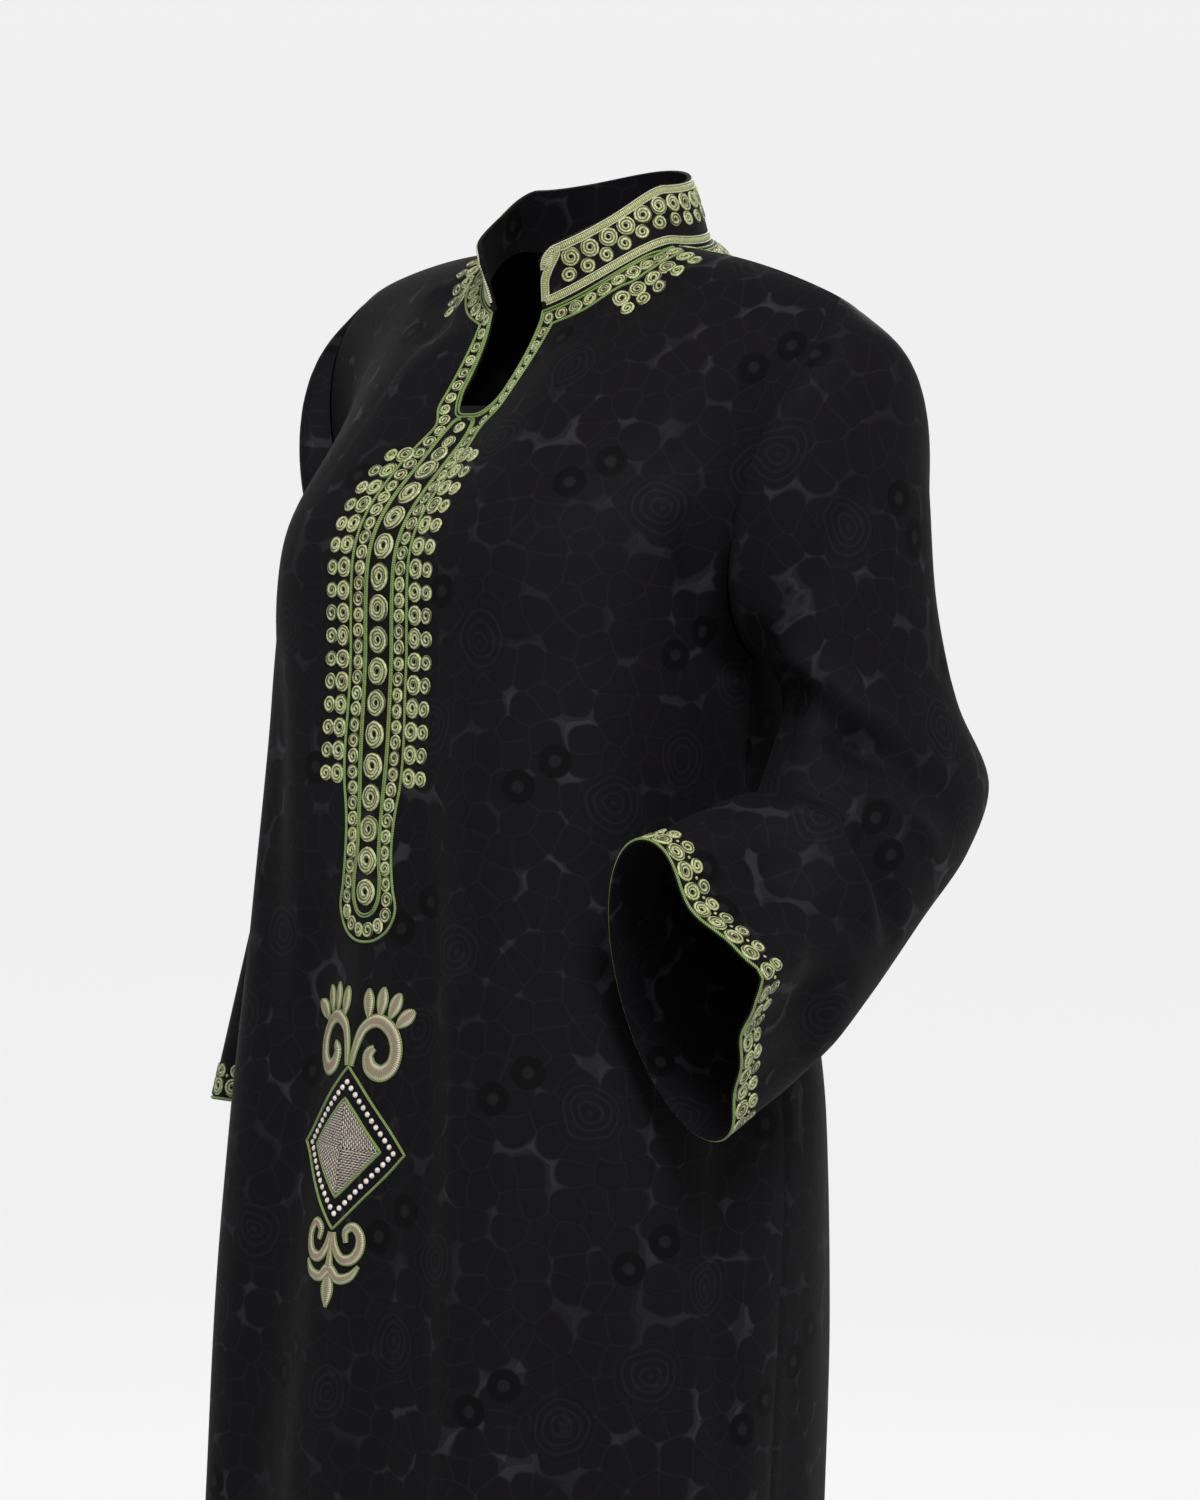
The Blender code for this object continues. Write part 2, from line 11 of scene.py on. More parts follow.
import bpy
import numpy as np
from bpy.props import FloatProperty, FloatVectorProperty, PointerProperty
from mathutils import Matrix, Vector


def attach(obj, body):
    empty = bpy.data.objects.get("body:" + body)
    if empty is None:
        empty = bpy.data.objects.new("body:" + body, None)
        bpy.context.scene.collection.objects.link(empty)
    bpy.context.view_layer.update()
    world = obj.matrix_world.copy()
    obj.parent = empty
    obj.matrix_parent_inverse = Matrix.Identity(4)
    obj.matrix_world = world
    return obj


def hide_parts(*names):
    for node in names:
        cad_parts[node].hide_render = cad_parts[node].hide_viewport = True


bl_info = {
    "name": "Moroccan kaftan",
    "version": (1, 0, 0),
    "blender": (4, 5, 0),
    "location": "3D View > Sidebar > Kaftan",
    "description": "Builds a jacquard kaftan with couched cord embroidery, and a plain studio for it",
    "category": "Object",
}

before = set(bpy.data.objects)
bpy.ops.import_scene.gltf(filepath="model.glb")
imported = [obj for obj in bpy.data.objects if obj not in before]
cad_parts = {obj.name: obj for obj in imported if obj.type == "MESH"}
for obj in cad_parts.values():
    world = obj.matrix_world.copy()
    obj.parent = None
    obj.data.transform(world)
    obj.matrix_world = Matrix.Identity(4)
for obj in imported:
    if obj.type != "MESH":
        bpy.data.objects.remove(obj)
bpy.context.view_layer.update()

# Sizes that the cloth shares with the solids
NECK_HALF_WIDTH = 0.081
NECK_FRONT = 0.076
NECK_BACK = 0.078
NECK_FRONT_DROP = 0.052
NECK_BACK_RISE = 0.015
NECK_SLIT_ANGLE = 19.0
COLLAR_HEIGHT = 0.041
COLLAR_LEAN = 0.015
COLLAR_FLARE = (0.006, -0.009)
COLLAR_CORNER = 0.016
COLLAR_WALL = 0.0026
LEFT_SHOULDER_TIP = (0.242, 0.010, -0.038)
RIGHT_SHOULDER_TIP = (0.244, 0.008, -0.020)
SHOULDER_CROWN = 0.006
SIDE_SEAM_ANGLE = 11.0
ARMHOLE_DROP = 0.285
SLIT_HALF_WIDTH = 0.010
SLIT_SHARE = 0.34
HEM_DROP = 1.405

# Finer points of the cloth's form: how the collar rises at the back, leans in and flares by the distance
# from its two ends, the bulge of the strip between the slit's edges, the gap between sleeve and armhole, and
# the drop over which a fold dies away
COLLAR_BACK_RISE = 0.004
COLLAR_RISE_FROM = (0.05, 0.15)
COLLAR_LEAN_FULL = 0.13
COLLAR_FLARE_END = 0.07
COLLAR_CORNER_FALL = 0.55
SLIT_BULGE = 0.0008
SLEEVE_SEAM_GAP = 0.0001
FOLD_FADE = 0.12

# The dip along sewn edges, and the share of a crease's length over which each of its ends fades
SEAM_DIP = {"depth": -0.0011, "half_width": 0.0030}
CREASE_FADE = 0.30

# How many grid cells each stretch of cloth has, and the share of half a panel's columns that the neck takes
FINER = 5
NECK_CELLS = 5 * FINER
SHOULDER_CELLS = 8 * FINER
SLIT_ROWS = 4 * FINER
YOKE_ROWS = 10 * FINER
LOWER_ROWS = 150
MIDDLE_CELLS = 4
SLEEVE_ROWS = 110
COLLAR_ROWS = 14
NECK_SHARE = 0.30

# The net that lays a cloth flat: its rows in the top quarter and below, its columns, its rounds and its pull
NET = {"top_rows": 15, "lower_rows": 17, "columns": 33, "rounds": 1500, "pull": 0.11}

# How the yoke's curves leave the top edge at the panel's middle, at the end of the neck and at the
# shoulder's tip, and how they land on the ring at the armholes, for the wearer's left side
LEAVE_FRONT = [(-0.020, -0.030, -0.190), (0.020, -0.180, -0.050), (0.120, -0.210, -0.130)]
LEAVE_BACK = [(0.000, 0.110, -0.060), (0.020, 0.340, -0.030), (0.120, 0.270, -0.130)]
LAND_BODY = (0.0, 0.0, -0.30)
LAND_ARMHOLE = (-0.010, 0.235, -0.170)

# The body's level rings: the drop below the shoulders, the half width, how far the front and the back stand
# off the middle, where the middle lies, and how square the ring is (2 is an ellipse)
BODY_RINGS = [
    # drop, half_width, front, back, middle, squareness
    (0.285, 0.180, 0.150, 0.150, -0.035, 3.10),
    (0.390, 0.190, 0.154, 0.150, -0.034, 3.00),
    (0.490, 0.205, 0.158, 0.153, -0.034, 2.80),
    (0.620, 0.222, 0.169, 0.162, -0.033, 2.55),
    (0.740, 0.226, 0.179, 0.170, -0.033, 2.40),
    (0.880, 0.229, 0.186, 0.173, -0.033, 2.25),
    (1.130, 0.238, 0.192, 0.178, -0.033, 2.15),
    (1.405, 0.248, 0.198, 0.184, -0.033, 2.15),
]

# Soft vertical folds, as in the solids. The angle runs round the body from the wearer's left side (0) over
# the back (90), and the front is at -90
BODY_FOLDS = [
    # angle, turn, first_drop, full_drop, last_drop, depth, half_width
    (-128.0, -6.0, 0.18, 0.32, 9.00, 0.013, 14.0),
    (-106.0, -4.0, 0.60, 1.10, 9.00, -0.010, 8.0),
    (-74.0, 4.0, 0.42, 0.85, 9.00, -0.012, 8.0),
    (-52.0, 6.0, 0.20, 0.36, 9.00, 0.009, 12.0),
    (-30.0, 6.0, 0.55, 1.00, 9.00, -0.013, 9.0),
    (-8.0, 4.0, 0.60, 1.05, 9.00, 0.010, 9.0),
    (14.0, 2.0, 0.55, 1.05, 9.00, -0.013, 9.0),
    (40.0, 2.0, 0.40, 0.90, 9.00, 0.010, 9.0),
    (64.0, 2.0, 0.35, 0.90, 9.00, -0.014, 9.0),
    (90.0, 0.0, 0.30, 0.85, 9.00, 0.010, 9.0),
    (116.0, -2.0, 0.35, 0.90, 9.00, -0.014, 9.0),
    (142.0, -3.0, 0.45, 1.00, 9.00, 0.010, 9.0),
    (170.0, -4.0, 0.55, 1.05, 9.00, -0.012, 9.0),
    (196.0, -4.0, 0.60, 1.05, 9.00, 0.009, 9.0),
    (214.0, -2.0, 0.55, 1.00, 9.00, -0.011, 8.0),
    (8.0, 0.0, 0.28, 0.38, 0.60, -0.012, 28.0),
    (172.0, 0.0, 0.28, 0.38, 0.76, -0.012, 28.0),
]
CHEST_FULLNESS = {"drop": 0.202, "forward": 0.016, "half_width": 0.170, "half_height": 0.050}

# Each sleeve's rings from the cap to the cuff: the centre, how far the front side has turned up, how far the
# outer side is tilted up, the half sizes, and how far the outer corner is drawn out
LEFT_SLEEVE = [
    # x, y, z, turn, tilt, half_tall, half_wide, corner
    (0.237, 0.010, -0.1755, 0.0, 69.5, 0.080, 0.116, 0.000),
    (0.244, 0.016, -0.2155, 0.0, 60.4, 0.072, 0.088, 0.000),
    (0.245, 0.028, -0.2635, 2.0, 41.0, 0.068, 0.059, 0.000),
    (0.247, 0.045, -0.3130, 4.0, 14.0, 0.072, 0.048, 0.000),
    (0.252, 0.052, -0.3600, 6.0, 4.0, 0.094, 0.052, 0.000),
    (0.258, 0.033, -0.3940, 13.5, 0.0, 0.089, 0.054, 0.000),
    (0.262, -0.001, -0.4200, 30.4, 0.0, 0.085, 0.055, 0.000),
    (0.266, -0.039, -0.4490, 46.7, 0.0, 0.089, 0.057, 0.003),
    (0.270, -0.085, -0.4780, 58.3, 0.0, 0.099, 0.059, 0.008),
    (0.276, -0.145, -0.5035, 71.2, 0.0, 0.106, 0.062, 0.016),
]
RIGHT_SLEEVE = [
    (0.234, 0.003, -0.1710, 0.0, 70.0, 0.074, 0.118, 0.000),
    (0.240, 0.007, -0.2135, 0.0, 60.4, 0.067, 0.089, 0.000),
    (0.244, 0.011, -0.2635, 0.0, 41.0, 0.066, 0.059, 0.000),
    (0.247, 0.013, -0.3150, 0.0, 14.0, 0.066, 0.047, 0.000),
    (0.251, 0.012, -0.3900, 1.0, 6.0, 0.071, 0.045, 0.000),
    (0.259, 0.006, -0.4700, 3.0, 3.0, 0.081, 0.044, 0.000),
    (0.266, 0.002, -0.5560, 5.0, 0.0, 0.093, 0.044, 0.000),
    (0.272, -0.002, -0.6400, 8.0, 0.0, 0.104, 0.046, 0.000),
]

# Creases. Each is a soft trough (or ridge, where the depth is above 0) along a bent line on one
# piece. The line is given by where it starts, bends and ends, in metres along the piece's worked edge and
# away from it
CREASES = [
    # piece, across_1, down_1, across_2, down_2, across_3, down_3, half_width, depth
    ("front", -0.020, 0.520, -0.030, 0.720, -0.080, 1.200, 0.016, 0.0020),
    ("front", -0.074, 0.440, -0.088, 0.700, -0.140, 1.300, 0.032, -0.0150),
    ("front", -0.150, 0.320, -0.136, 0.520, -0.112, 0.730, 0.022, -0.009),
    ("front", 0.070, 0.380, 0.098, 0.640, 0.132, 1.150, 0.017, -0.007),
    ("front", 0.275, 0.360, 0.262, 0.620, 0.264, 1.020, 0.018, -0.007),
    ("front", 0.185, 0.190, 0.226, 0.118, 0.262, 0.055, 0.012, 0.0035),
    ("front", 0.205, 0.215, 0.243, 0.140, 0.276, 0.080, 0.010, -0.0030),
    ("front", 0.240, 0.190, 0.270, 0.250, 0.292, 0.340, 0.012, -0.0060),
    ("front", 0.175, 0.700, 0.185, 0.950, 0.180, 1.330, 0.016, -0.0050),
    ("back", -0.060, 0.300, -0.070, 0.620, -0.075, 1.150, 0.018, -0.0070),
    ("back", 0.045, 0.420, 0.050, 0.760, 0.066, 1.330, 0.020, -0.0080),
    ("back", 0.150, 0.330, 0.155, 0.620, 0.150, 1.080, 0.016, -0.0060),
    ("back", -0.190, 0.250, -0.175, 0.350, -0.120, 0.430, 0.013, -0.0050),
    ("back", 0.200, 0.230, 0.185, 0.330, 0.130, 0.400, 0.013, -0.0050),
    ("sleeve_left", 0.453, 0.281, 0.440, 0.215, 0.412, 0.130, 0.016, -0.0130),
    ("sleeve_left", 0.404, 0.015, 0.428, 0.085, 0.380, 0.142, 0.009, 0.0035),
    ("sleeve_left", 0.452, 0.246, 0.372, 0.226, 0.290, 0.258, 0.010, 0.0050),
    ("sleeve_left", 0.440, 0.216, 0.375, 0.200, 0.300, 0.232, 0.014, -0.0090),
    ("sleeve_left", 0.405, 0.116, 0.322, 0.136, 0.215, 0.156, 0.010, 0.0065),
    ("sleeve_left", 0.345, 0.156, 0.275, 0.163, 0.195, 0.178, 0.014, -0.0100),
    ("sleeve_left", 0.388, 0.154, 0.312, 0.197, 0.215, 0.245, 0.009, 0.0055),
    ("sleeve_left", 0.388, 0.182, 0.322, 0.222, 0.215, 0.275, 0.012, -0.0080),
    ("sleeve_left", 0.290, 0.450, 0.345, 0.350, 0.385, 0.245, 0.014, -0.0045),
    ("sleeve_left", 0.180, 0.430, 0.230, 0.370, 0.300, 0.290, 0.014, -0.0040),
    ("sleeve_left", 0.300, 0.080, 0.275, 0.110, 0.240, 0.140, 0.010, -0.0035),
    ("sleeve_left", 0.354, 0.000, 0.346, 0.050, 0.335, 0.125, 0.034, -0.0200),
    ("sleeve_left", 0.241, 0.000, 0.236, 0.050, 0.228, 0.125, 0.028, -0.0170),
    ("sleeve_left", 0.192, 0.000, 0.192, 0.050, 0.194, 0.110, 0.028, -0.0130),
    ("sleeve_left", 0.290, 0.000, 0.285, 0.030, 0.272, 0.075, 0.010, 0.0080),
    ("sleeve_right", 0.120, 0.420, 0.150, 0.250, 0.140, 0.070, 0.013, -0.0045),
    ("sleeve_right", 0.320, 0.430, 0.300, 0.260, 0.330, 0.090, 0.013, -0.0050),
    ("sleeve_right", 0.220, 0.330, 0.260, 0.270, 0.340, 0.240, 0.010, -0.0045),
    ("sleeve_right", 0.400, 0.360, 0.370, 0.290, 0.280, 0.250, 0.010, -0.0040),
]

# The dip beside the neck: where it runs along the neck seam, and how far below it
NECK_HOLLOW = {"along": (0.040, 0.118), "distance": 0.046, "half_width": 0.021, "depth": -0.0065}

# The jacquard's repeat, and where its roses and its pairs of rings lie in it
REPEAT = (0.200, 0.210)
ROSES = [(0.100, 0.060), (0.005, 0.160), (0.060, 0.120)]
RINGS = [(0.040, 0.050), (0.063, 0.030), (0.140, 0.155), (0.163, 0.135)]

# How the jacquard shades from its ground (0) to the colour of its gaps (1). The lighter colour of the gaps,
# ripples and ring eyes is partly the weave's own tone and partly painted satin sheen. A gap begins and is
# full at its two distances from a petal's middle, in petal sizes. A rose, a ring and its eye are full up to
# their first distance from their middle and gone at the second, in metres
WEAVE = {
    "wander": 0.014,
    "gap": (0.63, 0.76),
    "outline_width": 0.05,
    "outline": 0.15,
    "rose": (0.018, 0.026),
    "rose_ripples": 1150.0,
    "rose_light": 0.18,
    "ring": (0.0105, 0.0125),
    "ring_eye": (0.0030, 0.0052),
    "ring_light": 0.20,
    "ring_ground": 0.55,
    "threads": 420.0,
}

# Colours of threads that have no setting of their own, with the colours of their painted highlights (glints),
# and how much lighter the collar's satin is than cord
PALE_GLINT = (0.56, 0.54, 0.42)
SATIN_MIDDLE = (0.220, 0.172, 0.102)
# Darkest colour of the painted shade in the satin's grooves between stitches
SATIN_GROOVE_SHADE = (0.02, 0.018, 0.014)
BEAD = (0.38, 0.33, 0.29)
BEAD_GLINT = (0.60, 0.58, 0.54)
GREY_STITCH = (0.25, 0.21, 0.175)
GREY_GLINT = (0.46, 0.42, 0.36)
BORDER_LIGHTER = 1.15

# A cord's half round profile: shares of its width across, and shares of its height
CORD_ACROSS = np.array([-0.50, -0.42, -0.16, 0.16, 0.42, 0.50])
CORD_RISE = np.array([-0.45, 0.55, 1.0, 1.0, 0.55, -0.45])

# A coiled disc's profile from its open eye over a small and a large ring to its rim: shares of its radius
# and of its height. A coil's thread is about COIL_THREAD wide
DISC_REACH = np.array([0.20, 0.29, 0.42, 0.54, 0.71, 0.90, 1.0])
DISC_RISE = np.array([-0.15, 0.62, 0.70, 0.18, 0.95, 0.80, -0.20])
COIL_THREAD = 0.0023
CORD_STEP = 0.0025
CORD_HEIGHT = 0.0009

# The bib, measured from the middle of the front and down the cloth from the neck edge. The comb's top discs
# are pulled in towards the slit
BIB_DISCS = {"first": 0.1401, "pitch": 0.02173, "count": 15, "radius": 0.0098}
BIB_COMB = {"first": 0.1254, "pitch": 0.0159, "count": 16, "pull": 0.0065, "rows": [0.0390, 0.0512]}
SMALL_DISC = 0.0057
LARGE_DISC = 0.0073

# Small discs above the first large one: radius, and down
FILLER_DISCS = [(0.0052, 0.0985), (0.0060, 0.1125), (0.0075, 0.1245)]
SLIT_BOTTOM = 0.0840

# The neck's edging, by its distance from the seam: its cords with their widths, its chain and its comb. It
# widens by the share NECK_SPREAD over SPREAD_LENGTH from the slit's corner. Its lines turn that corner at
# CORNER_SHARE of their distance along the seam
NECK_LINES = [(0.0019, 0.0015), (0.0040, 0.0015), (0.0140, 0.0018)]
NECK_CORD_STEP = 0.0022
NECK_CHAIN = {"distance": 0.0088, "radius": 0.0049, "slit_radius": 0.0047, "pitch": 0.0108}
NECK_COMB = {"first": 0.053, "pitch": 0.0112, "rows": [(0.0288, 0.0068), (0.0402, 0.0055)]}
NECK_SPREAD = 0.40
SPREAD_LENGTH = 0.035
CORNER_SHARE = 0.52
MIRRORED = np.array([-1.0, 1.0])

# The bib's lines below the slit, down to the round end: how far down, and the half width
OUTER_CORD = [
    # down, half_width
    (0.0980, 0.0248), (0.1120, 0.0272), (0.1280, 0.0298), (0.1500, 0.0305),
    (0.2200, 0.0305), (0.3000, 0.0305), (0.3690, 0.0305), (0.3920, 0.0262),
    (0.4150, 0.0250), (0.4400, 0.0285), (0.4560, 0.0325), (0.4680, 0.0270),
    (0.4760, 0.0150), (0.4785, 0.0000),
]
INNER_CORD = [
    (0.0900, 0.0040), (0.0920, 0.0095), (0.1000, 0.0122), (0.1300, 0.0140),
    (0.1500, 0.0143), (0.2200, 0.0143), (0.3000, 0.0143), (0.3500, 0.0143),
    (0.3900, 0.0122), (0.4200, 0.0122), (0.4380, 0.0148), (0.4500, 0.0138),
    (0.4580, 0.0085), (0.4605, 0.0000),
]
CHAIN_LINE = [
    (0.1000, 0.0190), (0.1140, 0.0205), (0.1280, 0.0220), (0.2200, 0.0222),
    (0.3000, 0.0222), (0.3600, 0.0222), (0.3920, 0.0190), (0.4200, 0.0186),
    (0.4430, 0.0225), (0.4580, 0.0235), (0.4665, 0.0160), (0.4705, 0.0000),
]

# The motif under the bib, on the wearer's left of the middle; the other side mirrors it. The diamond's
# insets are measured from its outer cord: two outlines with their widths, beads, and a filling of cords
# side by side
DIAMOND = {"top": 0.5646, "bottom": 0.6770, "half_width": 0.0590}
DIAMOND_LINES = [(0.0, 0.0019), (0.0160, 0.0022)]
DIAMOND_BEADS = {"inset": 0.0078, "pitch": 0.0062, "radius": 0.0021, "height": 0.0019}
DIAMOND_FILLING = {"first": 0.0181, "last": 0.0400, "pitch": 0.0024, "width": 0.0021}
LEAVES = [
    # across, down, tilt, length, width
    (0.0135, 0.5205, -6.0, 0.0215, 0.0098),
    (0.0268, 0.5185, 6.0, 0.0215, 0.0098),
    (0.0392, 0.5205, 26.0, 0.0210, 0.0100),
    (0.0490, 0.5285, 50.0, 0.0200, 0.0102),
]
UPPER_SCROLL = [
    # across, down, width
    (0.0022, 0.5640, 0.0030), (0.0042, 0.5520, 0.0052), (0.0110, 0.5370, 0.0072),
    (0.0240, 0.5312, 0.0088), (0.0370, 0.5368, 0.0100), (0.0432, 0.5485, 0.0104),
    (0.0405, 0.5610, 0.0106), (0.0300, 0.5672, 0.0110), (0.0195, 0.5628, 0.0110),
    (0.0178, 0.5545, 0.0085), (0.0232, 0.5498, 0.0040),
]
LOWER_SCROLL = [
    (0.0015, 0.6790, 0.0030), (0.0040, 0.6890, 0.0050), (0.0105, 0.6965, 0.0064),
    (0.0195, 0.6960, 0.0072), (0.0258, 0.6885, 0.0072), (0.0252, 0.6790, 0.0064),
    (0.0185, 0.6735, 0.0056), (0.0122, 0.6775, 0.0050), (0.0135, 0.6850, 0.0030),
]
CRESCENT = [
    (-0.0265, 0.7000, 0.0020), (-0.0200, 0.7075, 0.0056), (-0.0080, 0.7100, 0.0066),
    (0.0000, 0.7040, 0.0070), (0.0080, 0.7100, 0.0066), (0.0200, 0.7075, 0.0056),
    (0.0265, 0.7000, 0.0020),
]
MOTIF_STEM = [(0.0, 0.6790, 0.0040), (0.0, 0.6900, 0.0028), (0.0, 0.7020, 0.0060)]
DROP_LEAF = (0.0, 0.7195, 0.0, 0.0225, 0.0105)
LEAF_TIP_WIDTH = 0.0012
BAND_STEP = 0.0018
BAND_HEIGHT = 0.0013
SCROLL_HEIGHT = 0.0014

# The collar's satin border, with a cord at both edges, and its paired discs: shift, distance from the top,
# radius
COLLAR_BORDER = {"inset": 0.0046, "low": 0.0044, "corner": 0.0100, "width": 0.0042, "cord": 0.0025}
COLLAR_PAIRS = {"first": 0.0185, "last": 0.0150, "pitch": 0.0150}
COLLAR_DISCS = [(0.0, 0.0144, 0.0070), (0.0012, 0.0264, 0.0054)]

# The cuffs, by the distance from the edge: a cord, paired discs with their radii, and a dot between the pairs
CUFF_CORD = 0.0014
CUFF_PITCH = 0.0145
CUFF_DISCS = [(0.0103, 0.0071), (0.0222, 0.0054)]
CUFF_DOTS = {"distance": 0.0185, "radius": 0.0013, "height": 0.0009}

# The stage: the floor's profile out from the middle, how far it lies under the hem, and each light's place,
# size and power
FLOOR_PROFILE = [(0.0, 0.0), (9.0, 0.0), (11.0, 0.25), (12.6, 1.0), (13.7, 2.4), (14.0, 4.5), (14.0, 12.0)]
FLOOR_RINGS = 60
FLOOR_SIDES = 96
FLOOR_CLEARANCE = 0.004
BACKDROP_GLOW = 0.770
SKY_STRENGTH = 0.55
LIGHTS = {
    "key": ((3.4, -1.9, 2.8), 1.6, 270.0),
    "side": ((-0.6, -4.4, 1.2), 2.4, 20.0),
    "back": ((-2.6, 3.6, 2.4), 2.4, 80.0),
}
LIGHT_TARGET = (0.0, 0.0, -0.5)

# The camera's place, fitted to the picture's framing
CAMERA = {"azimuth": 49.0, "elevation": 1.5, "roll": 2.0, "distance": 4.0, "lens": 135.2}
CAMERA_TARGET = (0.0093, 0.0107, -0.3550)


class KaftanCloth(bpy.types.PropertyGroup):
    """Sizes and colours of the jacquard."""

    thickness: FloatProperty(
        name="Cloth thickness", description="Thickness of the jacquard",
        default=0.0012, min=0.0004, max=0.003, unit="LENGTH", precision=4,
    )
    petal_size: FloatProperty(
        name="Petal size", description="Width of one woven petal",
        default=0.021, min=0.005, max=0.08, unit="LENGTH", precision=3,
    )
    ground: FloatVectorProperty(
        name="Cloth colour", description="Colour of the petals",
        default=(0.0040, 0.0035, 0.0042), subtype="COLOR", min=0.0, max=1.0,
    )
    # The gaps' colour is partly the weave's own lighter tone and partly painted satin sheen
    gaps: FloatVectorProperty(
        name="Gap colour", description="Colour of the lighter gaps between petals",
        default=(0.0165, 0.0155, 0.0185), subtype="COLOR", min=0.0, max=1.0,
    )


class KaftanCords(bpy.types.PropertyGroup):
    """Sizes and colours of the embroidery."""

    cord_width: FloatProperty(
        name="Cord width", description="Width of a couched cord",
        default=0.0017, min=0.0005, max=0.006, unit="LENGTH", precision=4,
    )
    coil_height: FloatProperty(
        name="Coil height", description="How high a coiled disc stands",
        default=0.0012, min=0.0003, max=0.004, unit="LENGTH", precision=4,
    )
    olive: FloatVectorProperty(
        name="Olive cord", description="Colour of the coiled cord",
        default=(0.200, 0.232, 0.078), subtype="COLOR", min=0.0, max=1.0,
    )
    green: FloatVectorProperty(
        name="Green cord", description="Colour of the outline cords",
        default=(0.128, 0.205, 0.045), subtype="COLOR", min=0.0, max=1.0,
    )
    # Also the colour of the painted highlights (glints) on the olive coils and the border satin
    pale: FloatVectorProperty(
        name="Pale thread", description="Colour of the pale gold thread",
        default=(0.45, 0.43, 0.29), subtype="COLOR", min=0.0, max=1.0,
    )


class KaftanStage(bpy.types.PropertyGroup):
    """The studio."""

    backdrop: FloatVectorProperty(
        name="Backdrop", description="Colour of the floor and backdrop",
        default=(0.12, 0.12, 0.12), subtype="COLOR", min=0.0, max=1.0,
    )
    light: FloatProperty(
        name="Light", description="Strength of the soft lights", default=1.0, min=0.0, max=10.0,
    )


def cubic(t, start, leave, end, land):
    """The cubic curve from start (t = 0) to end (t = 1) whose slopes at the two are leave and land."""
    return (
        (2 * t**3 - 3 * t**2 + 1) * start
        + (t**3 - 2 * t**2 + t) * leave
        + (3 * t**2 - 2 * t**3) * end
        + (t**3 - t**2) * land
    )


def spline(knots, values, at):
    """A smooth curve through the values at their knots, each knot's slope taken from its neighbours."""
    knots = np.asarray(knots, float)
    values = np.asarray(values, float)
    at = np.asarray(at, float)
    slopes = np.gradient(values, knots, axis=0)
    low = np.clip(np.searchsorted(knots, at, side="right") - 1, 0, len(knots) - 2)
    span = knots[low + 1] - knots[low]
    t = (at - knots[low]) / span
    trailing = (1,) * (values.ndim - 1)
    span = span.reshape(span.shape + trailing)
    t = t.reshape(t.shape + trailing)
    return cubic(t, values[low], span * slopes[low], values[low + 1], span * slopes[low + 1])


def smooth_step(t):
    """0 below 0 and 1 above 1, with a level start and end between."""
    t = np.clip(t, 0.0, 1.0)
    return t * t * (3 - 2 * t)


def unit(vectors):
    """The vectors, each divided by its length."""
    return vectors / np.linalg.norm(vectors, axis=-1)[..., None]


def lengths_along(points):
    """How far along a line each of its points lies: the sum of the steps up to it."""
    return np.concatenate([[0.0], np.cumsum(np.linalg.norm(np.diff(points, axis=0), axis=1))])


def fold_depth(angle, drop):
    """How far the folds push the cloth outwards: bell curves over the angle, each grown by its drop."""
    depth = np.zeros(np.broadcast(angle, drop).shape)
    for centre, turn, first, full, last, height, half_width in BODY_FOLDS:
        grown = smooth_step((drop - first) / (full - first))
        faded = 1 - smooth_step((drop - last + FOLD_FADE) / FOLD_FADE)
        middle = centre + turn * smooth_step((drop - first) / (HEM_DROP - first))
        apart = (angle - middle + 180.0) % 360.0 - 180.0
        depth = depth + height * grown * faded * np.exp(-((apart / half_width) ** 2))
    return depth


def body_point(angle, drop):
    """A point of the cloth below the armholes: a squarish oval in polar form, plus its folds."""
    table = np.array(BODY_RINGS)
    half_width, front, back, middle, square = (spline(table[:, 0], table[:, k], drop) for k in range(1, 6))
    across = np.cos(np.radians(angle))
    along = np.sin(np.radians(angle))
    depth = np.where(along < 0, front, back)
    radius = (np.abs(across / half_width) ** square + np.abs(along / depth) ** square) ** (-1 / square)
    radius = radius + fold_depth(angle, drop)
    return np.stack([radius * across, middle + radius * along, -drop * np.ones_like(radius)], axis=-1)


def ring_angles(drop, start, end, shares):
    """Angles between start and end whose share of the ring's length there is as given."""
    angles = np.linspace(start, end, 361)
    points = body_point(angles, np.full_like(angles, drop))
    length = lengths_along(points)
    return np.interp(np.asarray(shares), length / length[-1], angles), length[-1]


def neck_point(angle):
    """The seam of neck and collar, as an oval that drops to the front and rises a little at the back."""
    across = np.cos(np.radians(angle))
    along = np.sin(np.radians(angle))
    y = np.where(along < 0, NECK_FRONT, NECK_BACK) * along
    front = np.clip(-along, 0, 1)
    z = -NECK_FRONT_DROP * front**1.6 + NECK_BACK_RISE * np.clip(along, 0, 1) ** 2
    return np.stack([NECK_HALF_WIDTH * across, y, z], axis=-1)


def shoulder_point(share, tip):
    """The shoulder seam: a line from the neck (0) to its tip (1), with a parabola's crown."""
    start = np.array([NECK_HALF_WIDTH, 0.0, 0.0])
    share = np.asarray(share)[..., None]
    line = start + (np.array(tip) - start) * share
    return line + np.array([0.0, 0.0, SHOULDER_CROWN]) * 4 * share * (1 - share)


def half_columns():
    """Where the columns of half a panel lie, from its middle (0) to its side (1)."""
    neck = np.linspace(0.0, NECK_SHARE, NECK_CELLS + 1)
    shoulder = np.linspace(NECK_SHARE, 1.0, SHOULDER_CELLS + 1)
    return np.concatenate([neck, shoulder[1:]])


def top_edge(columns, is_front, mirror):
    """Half of a panel's top edge: the neck seam, then the shoulder seam, both as on the wearer's left."""
    middle_angle = -90.0 + NECK_SLIT_ANGLE if is_front else 90.0
    neck = neck_point(middle_angle * (1 - columns[: NECK_CELLS + 1] / columns[NECK_CELLS]))
    share = (columns[NECK_CELLS + 1 :] - columns[NECK_CELLS]) / (1 - columns[NECK_CELLS])
    tip = LEFT_SHOULDER_TIP if mirror > 0 else RIGHT_SHOULDER_TIP
    return np.concatenate([neck, shoulder_point(share, tip)])


